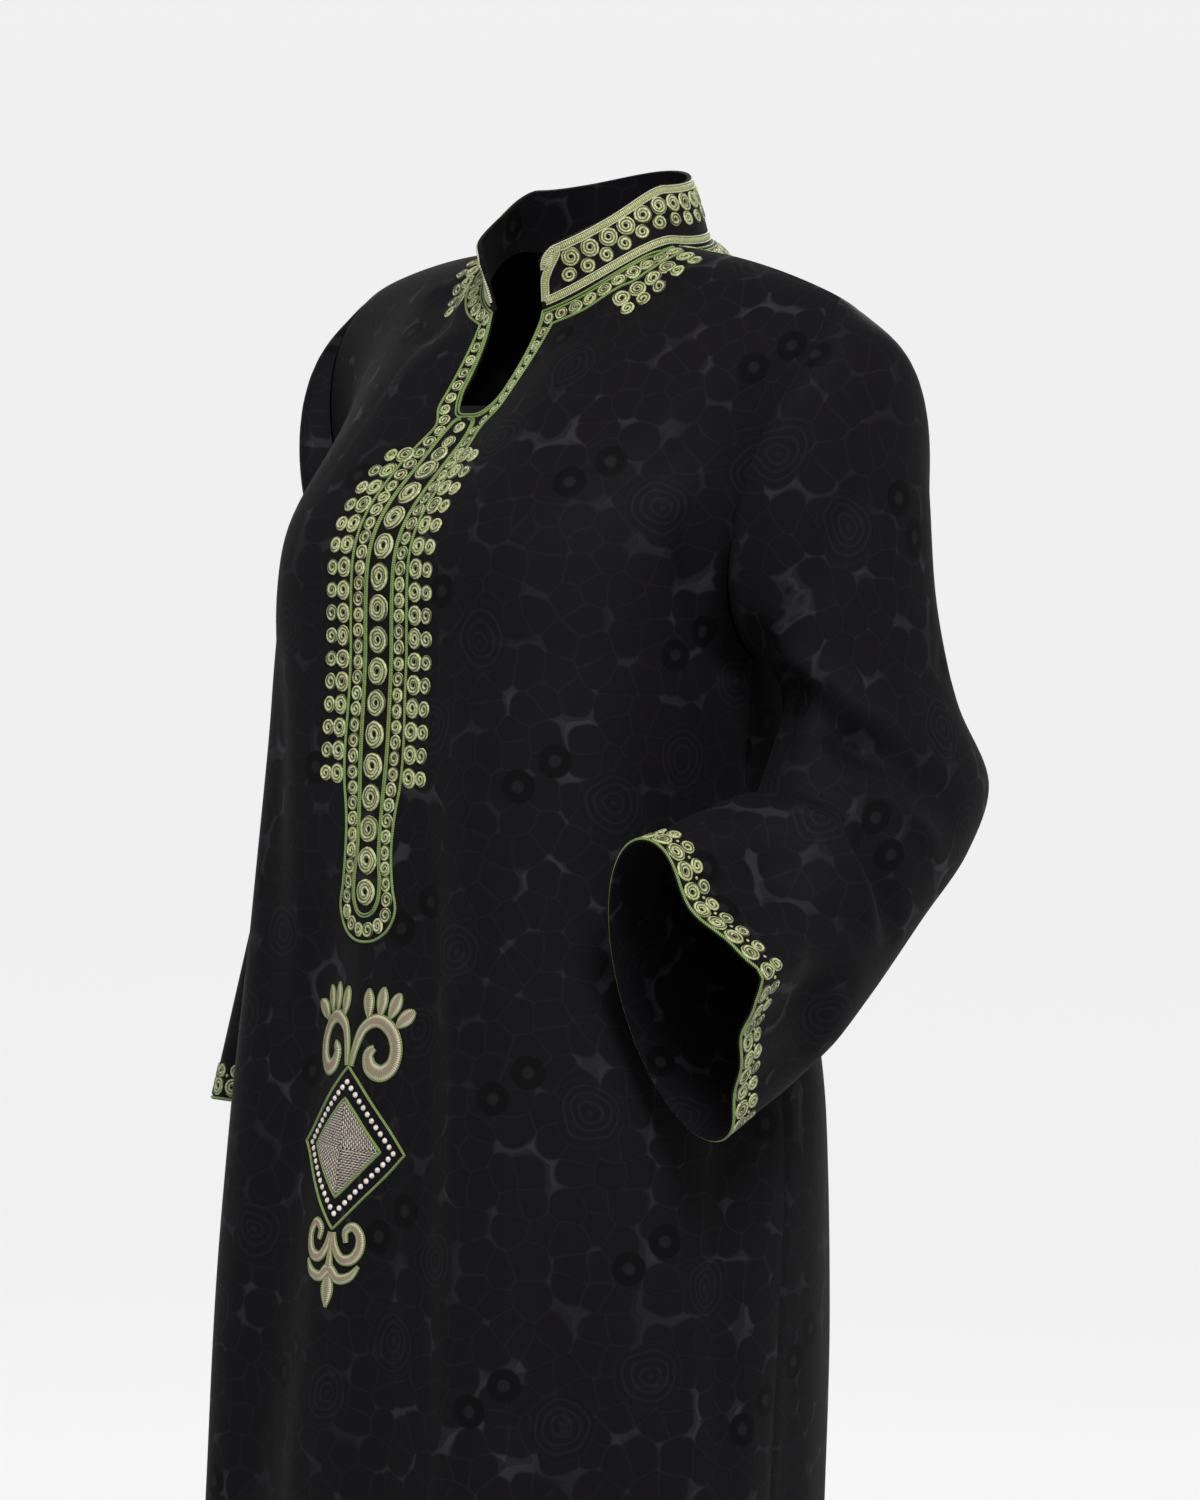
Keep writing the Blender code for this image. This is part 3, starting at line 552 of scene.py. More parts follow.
def yoke(columns, is_front, mirror, lower_edge):
    """The cloth between the top edge and the ring at the armholes, as one cubic curve for each column.

    Each curve leaves the seam forwards (or backwards) and lands on the ring heading down. The outermost one
    is the armhole's own edge, which swings out and back again to the underarm."""
    top = top_edge(columns, is_front, mirror)
    out = columns[:, None]
    leave_middle, leave_neck, leave_tip = np.array(LEAVE_FRONT if is_front else LEAVE_BACK)
    neck_share = np.clip(out / columns[NECK_CELLS], 0, 1)
    tip_share = np.clip((out - columns[NECK_CELLS]) / (1 - columns[NECK_CELLS]), 0, 1)
    leave = leave_middle + (leave_neck - leave_middle) * neck_share
    leave = leave + (leave_tip - leave_neck) * tip_share**1.5
    land_body = np.array(LAND_BODY)
    land_armhole = np.array(LAND_ARMHOLE) * np.array([1.0, 1.0 if is_front else -1.0, 1.0])
    land = land_body + (land_armhole - land_body) * out**5
    flip = np.array([mirror, 1.0, 1.0])
    above = np.linspace(0.0, SLIT_SHARE, SLIT_ROWS + 1)
    below = np.linspace(SLIT_SHARE, 1.0, YOKE_ROWS - SLIT_ROWS + 1)[1:]
    t = np.concatenate([above, below])[:, None, None]
    return cubic(t, top * flip, leave * flip, lower_edge, land * flip)


def add_chest(points):
    """Pushes the front forwards over the chest, as one soft shelf that ends towards the arms."""
    c = CHEST_FULLNESS
    across = np.abs(points[..., 0]) / c["half_width"]
    up = (points[..., 2] + c["drop"]) / c["half_height"]
    points[..., 1] -= c["forward"] * np.exp(-(across**4) - up**2)
    return points


def half_panel(is_front, mirror):
    """The grid of half a panel, rows from the top edge to the hem and columns from the middle out."""
    columns = half_columns()
    start = -90.0 if is_front else 90.0
    end = SIDE_SEAM_ANGLE if mirror > 0 else 180.0 - SIDE_SEAM_ANGLE
    if is_front and mirror < 0:
        end -= 360.0
    rows = []
    for drop in np.linspace(ARMHOLE_DROP, HEM_DROP, LOWER_ROWS + 1):
        length = ring_angles(drop, start, end, [0.0])[1]
        first = SLIT_HALF_WIDTH / length if is_front else 0.0
        angles = ring_angles(drop, start, end, first + (1 - first) * columns)[0]
        rows.append(body_point(angles, np.full_like(angles, drop)))
    lower = np.array(rows)
    upper = yoke(columns, is_front, mirror, lower[0])
    return np.concatenate([upper[:-1], lower])


def panel_grid(is_front):
    """The whole panel's outer points, with columns from the wearer's right to left (reversed at the back).

    The strip between the slit's edges bulges by a parabola."""
    left = half_panel(is_front, 1.0)
    right = half_panel(is_front, -1.0)
    if not is_front:
        return np.concatenate([left[:, ::-1], right[:, 1:]], axis=1)
    shares = (np.arange(1, MIDDLE_CELLS) / MIDDLE_CELLS)[None, :, None]
    middle = right[:, :1] * (1 - shares) + left[:, :1] * shares
    middle[:, :, 1] -= SLIT_BULGE * 4 * (shares * (1 - shares))[..., 0]
    return add_chest(np.concatenate([right[:, ::-1], middle, left], axis=1))


def sleeve_grid(stations, mirror, armhole):
    """A sleeve's outer points: ovals in the planes of its stations, each column joined by a smooth curve."""
    count = armhole.shape[0]
    around = np.linspace(0.0, 2 * np.pi, count, endpoint=False)
    rings = [armhole]
    for x, y, z, turn, tilt, half_tall, half_wide, corner in stations:
        centre = np.array([x * mirror, y, z])
        front = np.array([0.0, -math.cos(math.radians(turn)), math.sin(math.radians(turn))])
        outer = np.array([mirror * math.cos(math.radians(tilt)), 0.0, math.sin(math.radians(tilt))])
        rings.append(
            centre
            + (half_wide * np.cos(around) + corner * np.clip(np.cos(around), 0, 1) ** 6)[:, None] * outer
            + half_tall * np.sin(around)[:, None] * front
        )
    rings = np.array(rings)
    knots = lengths_along(rings.mean(axis=1))
    return spline(knots, rings, np.linspace(0.0, knots[-1], SLEEVE_ROWS + 1))


def neck_line():
    """The neck seam from its right front end to its left one."""
    across = half_columns()[: NECK_CELLS + 1] / half_columns()[NECK_CELLS]
    front = neck_point((-90.0 + NECK_SLIT_ANGLE) * (1 - across))
    back = neck_point(90.0 * (1 - across))
    flip = np.array([-1.0, 1.0, 1.0])
    return np.concatenate([front * flip, back[-2:0:-1] * flip, back, front[-2::-1]])


def collar_grid():
    """The collar's outer points, rows up from its seam. Its height falls by a quarter round at each end."""
    base = neck_line()
    length = lengths_along(base)
    from_end = np.minimum(length, length[-1] - length)
    corner = np.clip(1 - from_end / COLLAR_CORNER, 0, 1)
    height = COLLAR_HEIGHT - COLLAR_CORNER * COLLAR_CORNER_FALL * (1 - np.sqrt(1 - corner**2))
    rise_start, rise_end = COLLAR_RISE_FROM
    height = height + COLLAR_BACK_RISE * smooth_step((from_end - rise_start) / (rise_end - rise_start))
    inward = unit(base * np.array([-1.0, -1.0, 0.0]))
    lean = COLLAR_LEAN * smooth_step(from_end / COLLAR_LEAN_FULL)
    flare = 1 - smooth_step(from_end / COLLAR_FLARE_END)
    sideways, forwards = COLLAR_FLARE
    outward = np.stack([np.sign(base[:, 0]) * sideways, np.full(len(base), forwards), 0 * lean], 1)
    outward = outward * flare[:, None]
    up = np.linspace(0.0, 1.0, COLLAR_ROWS + 1)[:, None, None]
    rise = np.array([0.0, 0.0, 1.0]) * height[:, None]
    return base + up * rise + (inward * lean[:, None] + outward) * up**1.2


def read_grid(values, row, column):
    """Values of a grid at fractional rows and columns, by straight lines between its points."""
    i = np.clip(np.floor(row).astype(int), 0, values.shape[0] - 2)
    j = np.clip(np.floor(column).astype(int), 0, values.shape[1] - 2)
    t = row - i
    s = column - j
    if values.ndim == 3:
        t = t[..., None]
        s = s[..., None]
    upper = values[i, j] * (1 - s) + values[i, j + 1] * s
    lower = values[i + 1, j] * (1 - s) + values[i + 1, j + 1] * s
    return upper * (1 - t) + lower * t


def travelled(points, axis, start=0):
    """How far along a grid each of its points lies, from the given row or column."""
    steps = np.linalg.norm(np.diff(points, axis=axis), axis=2)
    shape = (points.shape[0], 1) if axis else (1, points.shape[1])
    along = np.concatenate([np.zeros(shape), np.cumsum(steps, axis=axis)], axis=axis)
    return along - np.take(along, [start], axis=axis)


def laid_flat(points, across, down):
    """The cloth laid flat: a coarse net of its threads, each pulled to its length in space until it rests.

    The net starts from the lengths along rows and columns, and is turned so that its middle hangs
    straight."""
    last = len(points) - 1
    top_rows = np.linspace(0, last // 4, NET["top_rows"])
    lower_rows = np.linspace(last // 4, last, NET["lower_rows"])
    rows = np.unique(np.concatenate([top_rows, lower_rows]).astype(int))
    columns = np.unique(np.linspace(0, points.shape[1] - 1, NET["columns"]).astype(int))
    high, wide = len(rows), len(columns)
    some = np.ix_(rows, columns)
    space = points[some]
    flat = np.stack([across[some], down[some]], -1)
    links = ((0, 1), (1, 0), (1, 1), (1, -1))
    for _ in range(NET["rounds"]):
        pull = np.zeros_like(flat)
        for i, j in links:
            a = (slice(0, high - i), slice(0, wide - j) if j >= 0 else slice(1, wide))
            b = (slice(i, high), slice(j, wide) if j >= 0 else slice(0, wide - 1))
            apart = flat[b] - flat[a]
            length = np.linalg.norm(apart, axis=2)
            wanted = np.linalg.norm(space[b] - space[a], axis=2)
            tug = apart * (NET["pull"] * (length - wanted) / length)[..., None]
            pull[a] += tug
            pull[b] -= tug
        flat += pull
    hang = flat[-1, wide // 2] - flat[0, wide // 2]
    flat = flat - flat[0, wide // 2]
    c, s = hang[1] / np.hypot(*hang), hang[0] / np.hypot(*hang)
    flat = np.stack([flat[..., 0] * c - flat[..., 1] * s, flat[..., 0] * s + flat[..., 1] * c], -1)
    fine = spline(rows, flat, np.arange(len(points)))
    return spline(columns, fine.transpose(1, 0, 2), np.arange(points.shape[1])).transpose(1, 0, 2)


class Cloth:
    """One piece of cloth: its grid of points, and charts that say where each point lies on the flat cloth.

    The flat chart is the cloth laid flat. The edge chart keeps each column straight and measures down
    from the piece's worked edge. The level chart measures down the middle, and level from there."""

    def __init__(self, points, outside=1.0, wrap=False, middle=0, worked="top"):
        self.wrap = wrap
        self.outside = outside
        self.middle = middle
        self.shape(points)
        closed = self.closed(points)
        across = travelled(closed, 1, middle)
        down = travelled(closed, 0)
        middle_down = down[:, middle]
        flat = laid_flat(closed, across, down)
        self.charts = {"flat": (flat[..., 0], flat[..., 1])}
        if worked == "bottom":
            steady = np.broadcast_to(across[-1], across.shape)
            down = down[-1:] - down
        else:
            steady = np.broadcast_to(across.mean(axis=0) if worked == "both" else across[0], across.shape)
        self.charts["edge"] = (steady, down)
        level = travelled(closed * np.array([1.0, 1.0, 0.0]), 1, middle)
        height = -closed[:, middle, 2]
        self.charts["level"] = (level, np.interp(-closed[..., 2], height, middle_down))
        self.reach = across[-1 if worked == "bottom" else 0, -1]

    def closed(self, values):
        """A grid of values with its first column again at its end, where the piece is a tube."""
        return np.concatenate([values, values[:, :1]], axis=1) if self.wrap else values

    def shape(self, points):
        """Takes new points, and works out the steps along rows and columns and the normals from them."""
        self.points = points
        self.down_step = np.gradient(points, axis=0)
        if self.wrap:
            self.across_step = (np.roll(points, -1, axis=1) - np.roll(points, 1, axis=1)) / 2
        else:
            self.across_step = np.gradient(points, axis=1)
        self.normals = unit(np.cross(self.down_step, self.across_step) * self.outside)

    def find(self, across, down, chart="flat"):
        """Fractional rows and columns of places on a chart: the nearest grid point, then Newton's method."""
        across_chart, down_chart = self.charts[chart]
        if self.wrap:
            across = np.asarray(across) % self.reach
        rows, columns = across_chart.shape
        coarse_rows, coarse_columns = np.arange(0, rows, 3), np.arange(0, columns, 3)
        some = np.ix_(coarse_rows, coarse_columns)
        across_apart = (across[:, None] - across_chart[some].ravel()) ** 2
        down_apart = (down[:, None] - down_chart[some].ravel()) ** 2
        nearest = (across_apart + down_apart).argmin(axis=1)
        row = coarse_rows[nearest // len(coarse_columns)].astype(float)
        column = coarse_columns[nearest % len(coarse_columns)].astype(float)
        slopes = [np.gradient(values, axis=axis) for values in (across_chart, down_chart) for axis in (0, 1)]
        for _ in range(8):
            missing_across = across - read_grid(across_chart, row, column)
            missing_down = down - read_grid(down_chart, row, column)
            a_row, a_column, d_row, d_column = (read_grid(slope, row, column) for slope in slopes)
            size = a_row * d_column - a_column * d_row
            size = np.where(np.abs(size) < 1e-9, 1e-9, size)
            row = np.clip(row + (missing_across * d_column - a_column * missing_down) / size, 0, rows - 1)
            column = np.clip(column + (a_row * missing_down - missing_across * d_row) / size, 0, columns - 1)
        return row, column

    def under_seam(self, across, distance):
        """Rows and columns at a distance straight in from the top edge, walked there in short steps."""
        steps = 12
        across, distance = np.broadcast_arrays(np.asarray(across, float), distance)
        column = np.interp(across, self.charts["edge"][0][0], np.arange(self.points.shape[1]))
        row = np.zeros(len(column))
        heading = np.cross(self.read(self.across_step, row, column), self.read(self.normals, row, column))
        for _ in range(steps):
            normal = unit(self.read(self.normals, row, column))
            heading = unit(heading - normal * (heading * normal).sum(-1)[:, None])
            row, column = self.along(row, column, heading * (distance / steps)[:, None])
        return row, column

    def read(self, values, row, column):
        """Values at fractional rows and columns, round the tube where the piece is one."""
        if self.wrap:
            column = column % self.points.shape[1]
        return read_grid(self.closed(values), row, column)

    def along(self, row, column, steps):
        """Rows and columns after short steps in space along the cloth, each guess mended by its miss."""
        start = self.read(self.points, row, column)
        for _ in range(3):
            missing = start + steps - self.read(self.points, row, column)
            by_row = self.read(self.down_step, row, column)
            by_column = self.read(self.across_step, row, column)
            rr, rc, cc = (by_row**2).sum(-1), (by_row * by_column).sum(-1), (by_column**2).sum(-1)
            r, c = (by_row * missing).sum(-1), (by_column * missing).sum(-1)
            size = rr * cc - rc * rc
            row = np.clip(row + (r * cc - c * rc) / size, 0, len(self.points) - 1)
            column = column + (c * rr - r * rc) / size
            if not self.wrap:
                column = np.clip(column, 0, self.points.shape[1] - 1)
        return row, column

    def on(self, row, column, lift):
        """Points of the cloth, moved out along the normals by the lift."""
        place = self.read(self.points, row, column)
        return place + unit(self.read(self.normals, row, column)) * np.asarray(lift)[..., None]


def grid_quads(rows, columns, wrap=False, kept=None):
    """Corner numbers of each cell of a grid, and each corner's row and column, unjoined on a tube."""
    i, j = np.meshgrid(np.arange(rows - 1), np.arange(columns if wrap else columns - 1), indexing="ij")
    if kept is not None:
        i, j = i[kept], j[kept]
    i, j = i.ravel(), j.ravel()
    corner_rows = np.stack([i, i + 1, i + 1, i], 1)
    corner_columns = np.stack([j, j, j + 1, j + 1], 1)
    return corner_rows * columns + corner_columns % columns, corner_rows, corner_columns


class Sewn:
    """Collects points, faces, UV and material numbers, and makes one piece of them."""

    def __init__(self):
        self.points, self.quads, self.uv, self.finish = [], [], [], []
        self.count = 0

    def add(self, points, quads, uv, finish=0):
        points = points.reshape(-1, 3)
        self.points.append(points)
        self.quads.append(quads + self.count)
        self.uv.append(uv)
        self.finish.append(np.full(len(quads), finish))
        self.count += len(points)

    def make(self, name, materials, sharp=None):
        """The mesh object, filled with whole arrays."""
        points = np.concatenate(self.points)
        quads = np.concatenate(self.quads)
        mesh = bpy.data.meshes.new(name)
        mesh.vertices.add(len(points))
        mesh.vertices.foreach_set("co", points.astype(np.float32).ravel())
        mesh.loops.add(quads.size)
        mesh.loops.foreach_set("vertex_index", quads.astype(np.int32).ravel())
        mesh.polygons.add(len(quads))
        mesh.polygons.foreach_set("loop_start", np.arange(0, quads.size, 4, dtype=np.int32))
        mesh.polygons.foreach_set("material_index", np.concatenate(self.finish).astype(np.int32))
        mesh.update(calc_edges=True)
        layer = mesh.uv_layers.new(name="flat")
        layer.data.foreach_set("uv", np.concatenate(self.uv).astype(np.float32).ravel())
        mesh.validate()
        mesh.shade_smooth()
        if sharp:
            mesh.set_sharp_from_angle(angle=math.radians(sharp))
        for material in materials:
            mesh.materials.append(material)
        piece = bpy.data.objects.new(name, mesh)
        bpy.context.scene.collection.objects.link(piece)
        return piece


def add_shell(sewn, cloth, thickness, kept=None):
    """A thin shell: the outer grid, the same grid moved in along its normals, and a strip at each open edge.

    The edge strips join each boundary edge, a cell side that no other cell shares, to its inner twin."""
    rows, columns = cloth.points.shape[:2]
    quads, corner_rows, corner_columns = grid_quads(rows, columns, cloth.wrap, kept)
    if cloth.outside < 0:
        turned = (corners[:, ::-1] for corners in (quads, corner_rows, corner_columns))
        quads, corner_rows, corner_columns = turned
    uv = np.stack([values[corner_rows, corner_columns] for values in cloth.charts["flat"]], -1)
    outer = cloth.points.reshape(-1, 3)
    inner = outer - cloth.normals.reshape(-1, 3) * thickness
    start, end = quads, np.roll(quads, -1, axis=1)
    total = len(outer)
    key = start * total + end
    edge = ~np.isin(key, (end * total + start).ravel())
    a, b = start[edge], end[edge]
    strip = np.stack([b, a, a + total, b + total], 1)
    start_uv, end_uv = uv[edge], np.roll(uv, -1, axis=1)[edge]
    edge_uv = np.stack([end_uv, start_uv, start_uv, end_uv], 1)
    used = np.unique(quads)
    number = np.full(2 * total, -1)
    number[used] = np.arange(len(used))
    number[used + total] = np.arange(len(used)) + len(used)
    points = np.concatenate([outer[used], inner[used]])
    faces = number[np.concatenate([quads, quads[:, ::-1] + total, strip])]
    sewn.add(points, faces, np.concatenate([uv, uv[:, ::-1], edge_uv]))


def even_path(points, step):
    """A smooth curve through the points, at even steps. Columns past the second are carried along."""
    points = np.asarray(points, float)
    travel = lengths_along(points[:, :2])
    fine = spline(travel, points, np.linspace(0.0, travel[-1], 12 * len(points)))
    length = lengths_along(fine[:, :2])
    count = max(3, int(round(length[-1] / step)) + 1)
    at = np.linspace(0.0, length[-1], count)
    return np.stack([np.interp(at, length, fine[:, k]) for k in range(fine.shape[1])], 1)


def turned_about(cloth, row, column):
    """The normal and two level directions at each place, from which a shape is turned about its centre."""
    normal = unit(cloth.read(cloth.normals, row, column))[:, None, None]
    first = unit(cloth.read(cloth.across_step, row, column))[:, None, None]
    return normal, first, np.cross(normal, first)


def repeated(quads, copies, points_each):
    """The faces of a shape for each of its copies, whose points follow one another."""
    return (quads[None] + (np.arange(copies) * points_each)[:, None, None]).reshape(-1, 4)


def add_cord(sewn, cloth, places, width, height, finish, closed=False, shift=0.0, lift=0.0002):
    """A couched cord: a half round profile carried along places on the cloth, moved sideways by the shift.

    It gets lower where it gets narrower. UV is the share across it, and the metres along it."""
    row, column = places
    place = cloth.on(row, column, np.zeros(len(row)))
    ahead = np.roll(place, -1, axis=0) - np.roll(place, 1, axis=0) if closed else np.gradient(place, axis=0)
    side = unit(np.cross(cloth.read(cloth.normals, row, column), ahead))
    count = len(CORD_ACROSS)
    width = np.broadcast_to(width, len(row))
    reach = width[:, None] * CORD_ACROSS + np.broadcast_to(shift, len(row))[:, None]
    steps = side[:, None] * reach[..., None]
    row, column = cloth.along(np.repeat(row[:, None], count, 1), np.repeat(column[:, None], count, 1), steps)
    height = height * np.minimum(1.0, width / np.max(width) + 0.25)
    points = cloth.on(row, column, lift + height[:, None] * CORD_RISE)
    quads, corner_rows, corner_columns = grid_quads(len(place) + closed, count)
    quads = quads % (len(place) * count)
    length = lengths_along(place)
    length = np.append(length, length[-1] + length[-1] / (len(place) - 1))
    uv = np.stack([CORD_ACROSS[corner_columns] + 0.5, length[corner_rows]], -1)
    sewn.add(points, quads, uv, finish)


def add_discs(sewn, cloth, places, radii, height, sides=12):
    """Coiled cord discs: a ring profile turned about each centre, a little oval and uneven, as laid by hand.

    UV is the turn about the centre, and the number of coils out from it."""
    row, column = places
    radii = np.broadcast_to(radii, len(row)).astype(float)
    random = np.random.default_rng(len(row) + int(row.sum()) % 97)
    angle = np.linspace(0.0, 2 * np.pi, sides, endpoint=False)
    start = random.uniform(0, 2 * np.pi, len(row))[:, None, None]
    oval = random.uniform(0.95, 1.05, len(row))[:, None, None]
    wobble = 1 + random.uniform(-0.035, 0.035, (len(row), 1, sides))
    reach = radii[:, None, None] * DISC_REACH[None, :, None] * wobble
    _, first, second = turned_about(cloth, row, column)
    steps = (reach * oval * np.cos(angle + start))[..., None] * first
    steps = steps + (reach / oval * np.sin(angle + start))[..., None] * second
    shape = reach.shape
    row = np.broadcast_to(row[:, None, None], shape)
    column = np.broadcast_to(column[:, None, None], shape)
    row, column = cloth.along(row, column, steps)
    size = (height * (radii / LARGE_DISC) ** 0.5)[:, None, None]
    size = size * random.uniform(0.9, 1.1, (len(radii), 1, 1))
    points = cloth.on(row, column, 0.0001 + size * DISC_RISE[None, :, None] + 0 * row)
    quads, corner_rows, corner_columns = grid_quads(len(DISC_REACH), sides, True)
    coils = np.round(radii / COIL_THREAD)[:, None, None] * DISC_REACH[corner_rows][None]
    uv = np.stack([np.broadcast_to(corner_columns / sides, coils.shape), coils], -1).reshape(-1, 4, 2)
    sewn.add(points, repeated(quads, len(radii), len(DISC_REACH) * sides), uv)


def add_beads(sewn, cloth, places, radius, height, finish, sides=8):
    """Small domes: a quarter circle turned about each centre, closed to a point at the top."""
    row, column = places
    normal, first, second = turned_about(cloth, row, column)
    rise = np.radians([90.0, 60.0, 30.0, 0.0])
    angle = np.linspace(0.0, 2 * np.pi, sides, endpoint=False)
    ring = first * np.cos(angle)[None, None, :, None] + second * np.sin(angle)[None, None, :, None]
    place = cloth.on(row, column, np.full(len(row), -0.0002))[:, None, None]
    reach = radius * np.maximum(np.cos(rise), 0.02)[None, :, None, None]
    points = place + ring * reach + normal * (height * np.sin(rise))[None, :, None, None]
    cap = np.stack([[3, 2, 1, 0], [0, 5, 4, 3], [0, 7, 6, 5]])[:, ::-1]
    quads = np.concatenate([grid_quads(len(rise), sides, True)[0], cap])
    quads = repeated(quads, len(row), len(rise) * sides)
    sewn.add(points, quads, np.full((len(quads), 4, 2), 0.25), finish)


def new_material(name):
    """A material with an empty node tree but for its shader and output."""
    material = bpy.data.materials.new(name)
    material.use_nodes = True
    return material, material.node_tree, material.node_tree.nodes["Principled BSDF"]


def add_node(tree, kind, links=(), **values):
    """A shader node with its values set and its inputs linked."""
    node = tree.nodes.new(kind)
    for key, value in values.items():
        setattr(node, key, value)
    for key, source in dict(links).items():
        if isinstance(source, (int, float, tuple)):
            node.inputs[key].default_value = source
        else:
            tree.links.new(source, node.inputs[key])
    return node


def math_node(tree, operation, *sources):
    """The output of a Math node."""
    return add_node(tree, "ShaderNodeMath", dict(enumerate(sources)), operation=operation).outputs[0]


def times(tree, first, second):
    """Two values multiplied."""
    return math_node(tree, "MULTIPLY", first, second)


def sloped(tree, value, slope, start):
    """slope * value + start."""
    return math_node(tree, "MULTIPLY_ADD", value, slope, start)


def rest_of(tree, share):
    """1 - share."""
    return math_node(tree, "SUBTRACT", 1.0, share)


def ramp_between(tree, value, low, high):
    """0 below low and 1 above high, with a smooth step between them."""
    links = {"Value": value, "From Min": low, "From Max": high, "To Min": 0.0, "To Max": 1.0}
    return add_node(tree, "ShaderNodeMapRange", links, interpolation_type="SMOOTHSTEP").outputs["Result"]


def vector_node(tree, operation, *sources, **links):
    """The vector output of a Vector Math node."""
    links = {**dict(enumerate(sources)), **links}
    return add_node(tree, "ShaderNodeVectorMath", links, operation=operation).outputs[0]


def noise(tree, place, scale, detail=1.0, output=0):
    """Soft noise of the given scale at a place."""
    links = {"Vector": place, "Scale": scale, "Detail": detail}
    return add_node(tree, "ShaderNodeTexNoise", links).outputs[output]


def flat_uv(tree):
    """The piece's own UV."""
    return add_node(tree, "ShaderNodeUVMap", uv_map="flat").outputs[0]


def finish_surface(tree, shader, colour, height, strength, distance, **values):
    """Links the colour and the relief to the shader, and sets its other values."""
    tree.links.new(colour, shader.inputs["Base Color"])
    bump = add_node(tree, "ShaderNodeBump", {"Height": height, "Strength": strength, "Distance": distance})
    tree.links.new(bump.outputs[0], shader.inputs["Normal"])
    for key, value in values.items():
        shader.inputs[key.replace("_", " ")].default_value = value


def mixed_colour(tree, share, first, second):
    """Two colours mixed by a share."""
    node = tree.nodes.new("ShaderNodeMix")
    node.data_type = "RGBA"
    for socket, source in ((node.inputs[0], share), (node.inputs[6], first), (node.inputs[7], second)):
        if hasattr(source, "links"):
            tree.links.new(source, socket)
        else:
            socket.default_value = source if isinstance(source, float) else (*source[:3], 1.0)
    return node.outputs[2]


def repeat_distance(tree, uv, tile, place):
    """Distance from the nearest of the points that repeat with a tile: the length of the remainder in it."""
    moved = vector_node(tree, "SUBTRACT", uv, (*place, 0.0))
    half = (tile[0] / 2, tile[1] / 2, 1.0)
    near = vector_node(tree, "WRAP", moved, half, tuple(-h for h in half))
    return add_node(tree, "ShaderNodeVectorMath", {0: near}, operation="LENGTH").outputs["Value"]


def petal_light(tree, uv, place, petal_size):
    """How light packed petals are: their outlines, and their gaps, faded by noise and petal by petal."""
    links = {"Vector": place, "Scale": 1.0 / petal_size, "Randomness": 0.9}
    petals = add_node(tree, "ShaderNodeTexVoronoi", links, voronoi_dimensions="2D", feature="F1").outputs
    edges = add_node(tree, "ShaderNodeTexVoronoi", links, voronoi_dimensions="2D", feature="DISTANCE_TO_EDGE")
    gap = ramp_between(tree, petals["Distance"], *WEAVE["gap"])
    faint = ramp_between(tree, noise(tree, uv, 7.0), 0.38, 0.62)
    gap = times(tree, gap, sloped(tree, faint, 0.6, 0.4))
    chance = add_node(tree, "ShaderNodeSeparateColor", {0: petals["Color"]}).outputs[0]
    gap = times(tree, gap, sloped(tree, chance, 0.7, 0.3))
    outline = rest_of(tree, ramp_between(tree, edges.outputs["Distance"], 0.0, WEAVE["outline_width"]))
    return math_node(tree, "MAXIMUM", gap, times(tree, outline, WEAVE["outline"]))


def jacquard(name, cloth):
    """Black jacquard: packed petals with lighter gaps, rippled roses and pairs of dark rings on a repeat.

    The colour is the ground's plus the light's share of the step to the gaps' colour, a lighter colour that
    is partly the weave's own tone and partly painted satin sheen."""
    material, tree, shader = new_material(name)
    uv = flat_uv(tree)
    bent = vector_node(tree, "SUBTRACT", noise(tree, uv, 30.0, output="Color"), (0.5, 0.5, 0.5))
    place = vector_node(tree, "ADD", uv, vector_node(tree, "SCALE", bent, Scale=WEAVE["wander"]))
    light = petal_light(tree, uv, place, cloth.petal_size)
    for spot in ROSES:
        apart = repeat_distance(tree, place, REPEAT, spot)
        wave = math_node(tree, "SINE", times(tree, apart, WEAVE["rose_ripples"]))
        inside = rest_of(tree, ramp_between(tree, apart, *WEAVE["rose"]))
        ripple = times(tree, times(tree, ramp_between(tree, wave, 0.2, 1.0), inside), WEAVE["rose_light"])
        light = math_node(tree, "ADD", times(tree, light, sloped(tree, inside, -0.75, 1.0)), ripple)
    dark = 0.0
    for spot in RINGS:
        apart = repeat_distance(tree, uv, REPEAT, spot)
        inside = rest_of(tree, ramp_between(tree, apart, *WEAVE["ring"]))
        eye = rest_of(tree, ramp_between(tree, apart, *WEAVE["ring_eye"]))
        light = times(tree, light, rest_of(tree, inside))
        light = math_node(tree, "ADD", light, times(tree, eye, WEAVE["ring_light"]))
        dark = math_node(tree, "MAXIMUM", dark, times(tree, inside, rest_of(tree, eye)))
    deep = tuple(WEAVE["ring_ground"] * c for c in cloth.ground)
    ground = mixed_colour(tree, dark, tuple(cloth.ground), deep)
    tree.links.new(sloped(tree, light, -0.15, 0.66), shader.inputs["Roughness"])
    links = {"Vector": uv, "Scale": WEAVE["threads"]}
    threads = add_node(tree, "ShaderNodeTexWave", links, bands_direction="DIAGONAL").outputs[1]
    relief = sloped(tree, threads, 0.3, times(tree, light, -1.0))
    # Painted sheen: gaps, ripples and ring eyes take the lighter colour, partly their own tone and partly the
    # shine of satin
    finish_surface(
        tree, shader, mixed_colour(tree, light, ground, tuple(cloth.gaps)), relief, 0.25, 0.0004,
        Specular_IOR_Level=0.035, Sheen_Weight=0.006, Sheen_Roughness=0.45,
    )
    return material


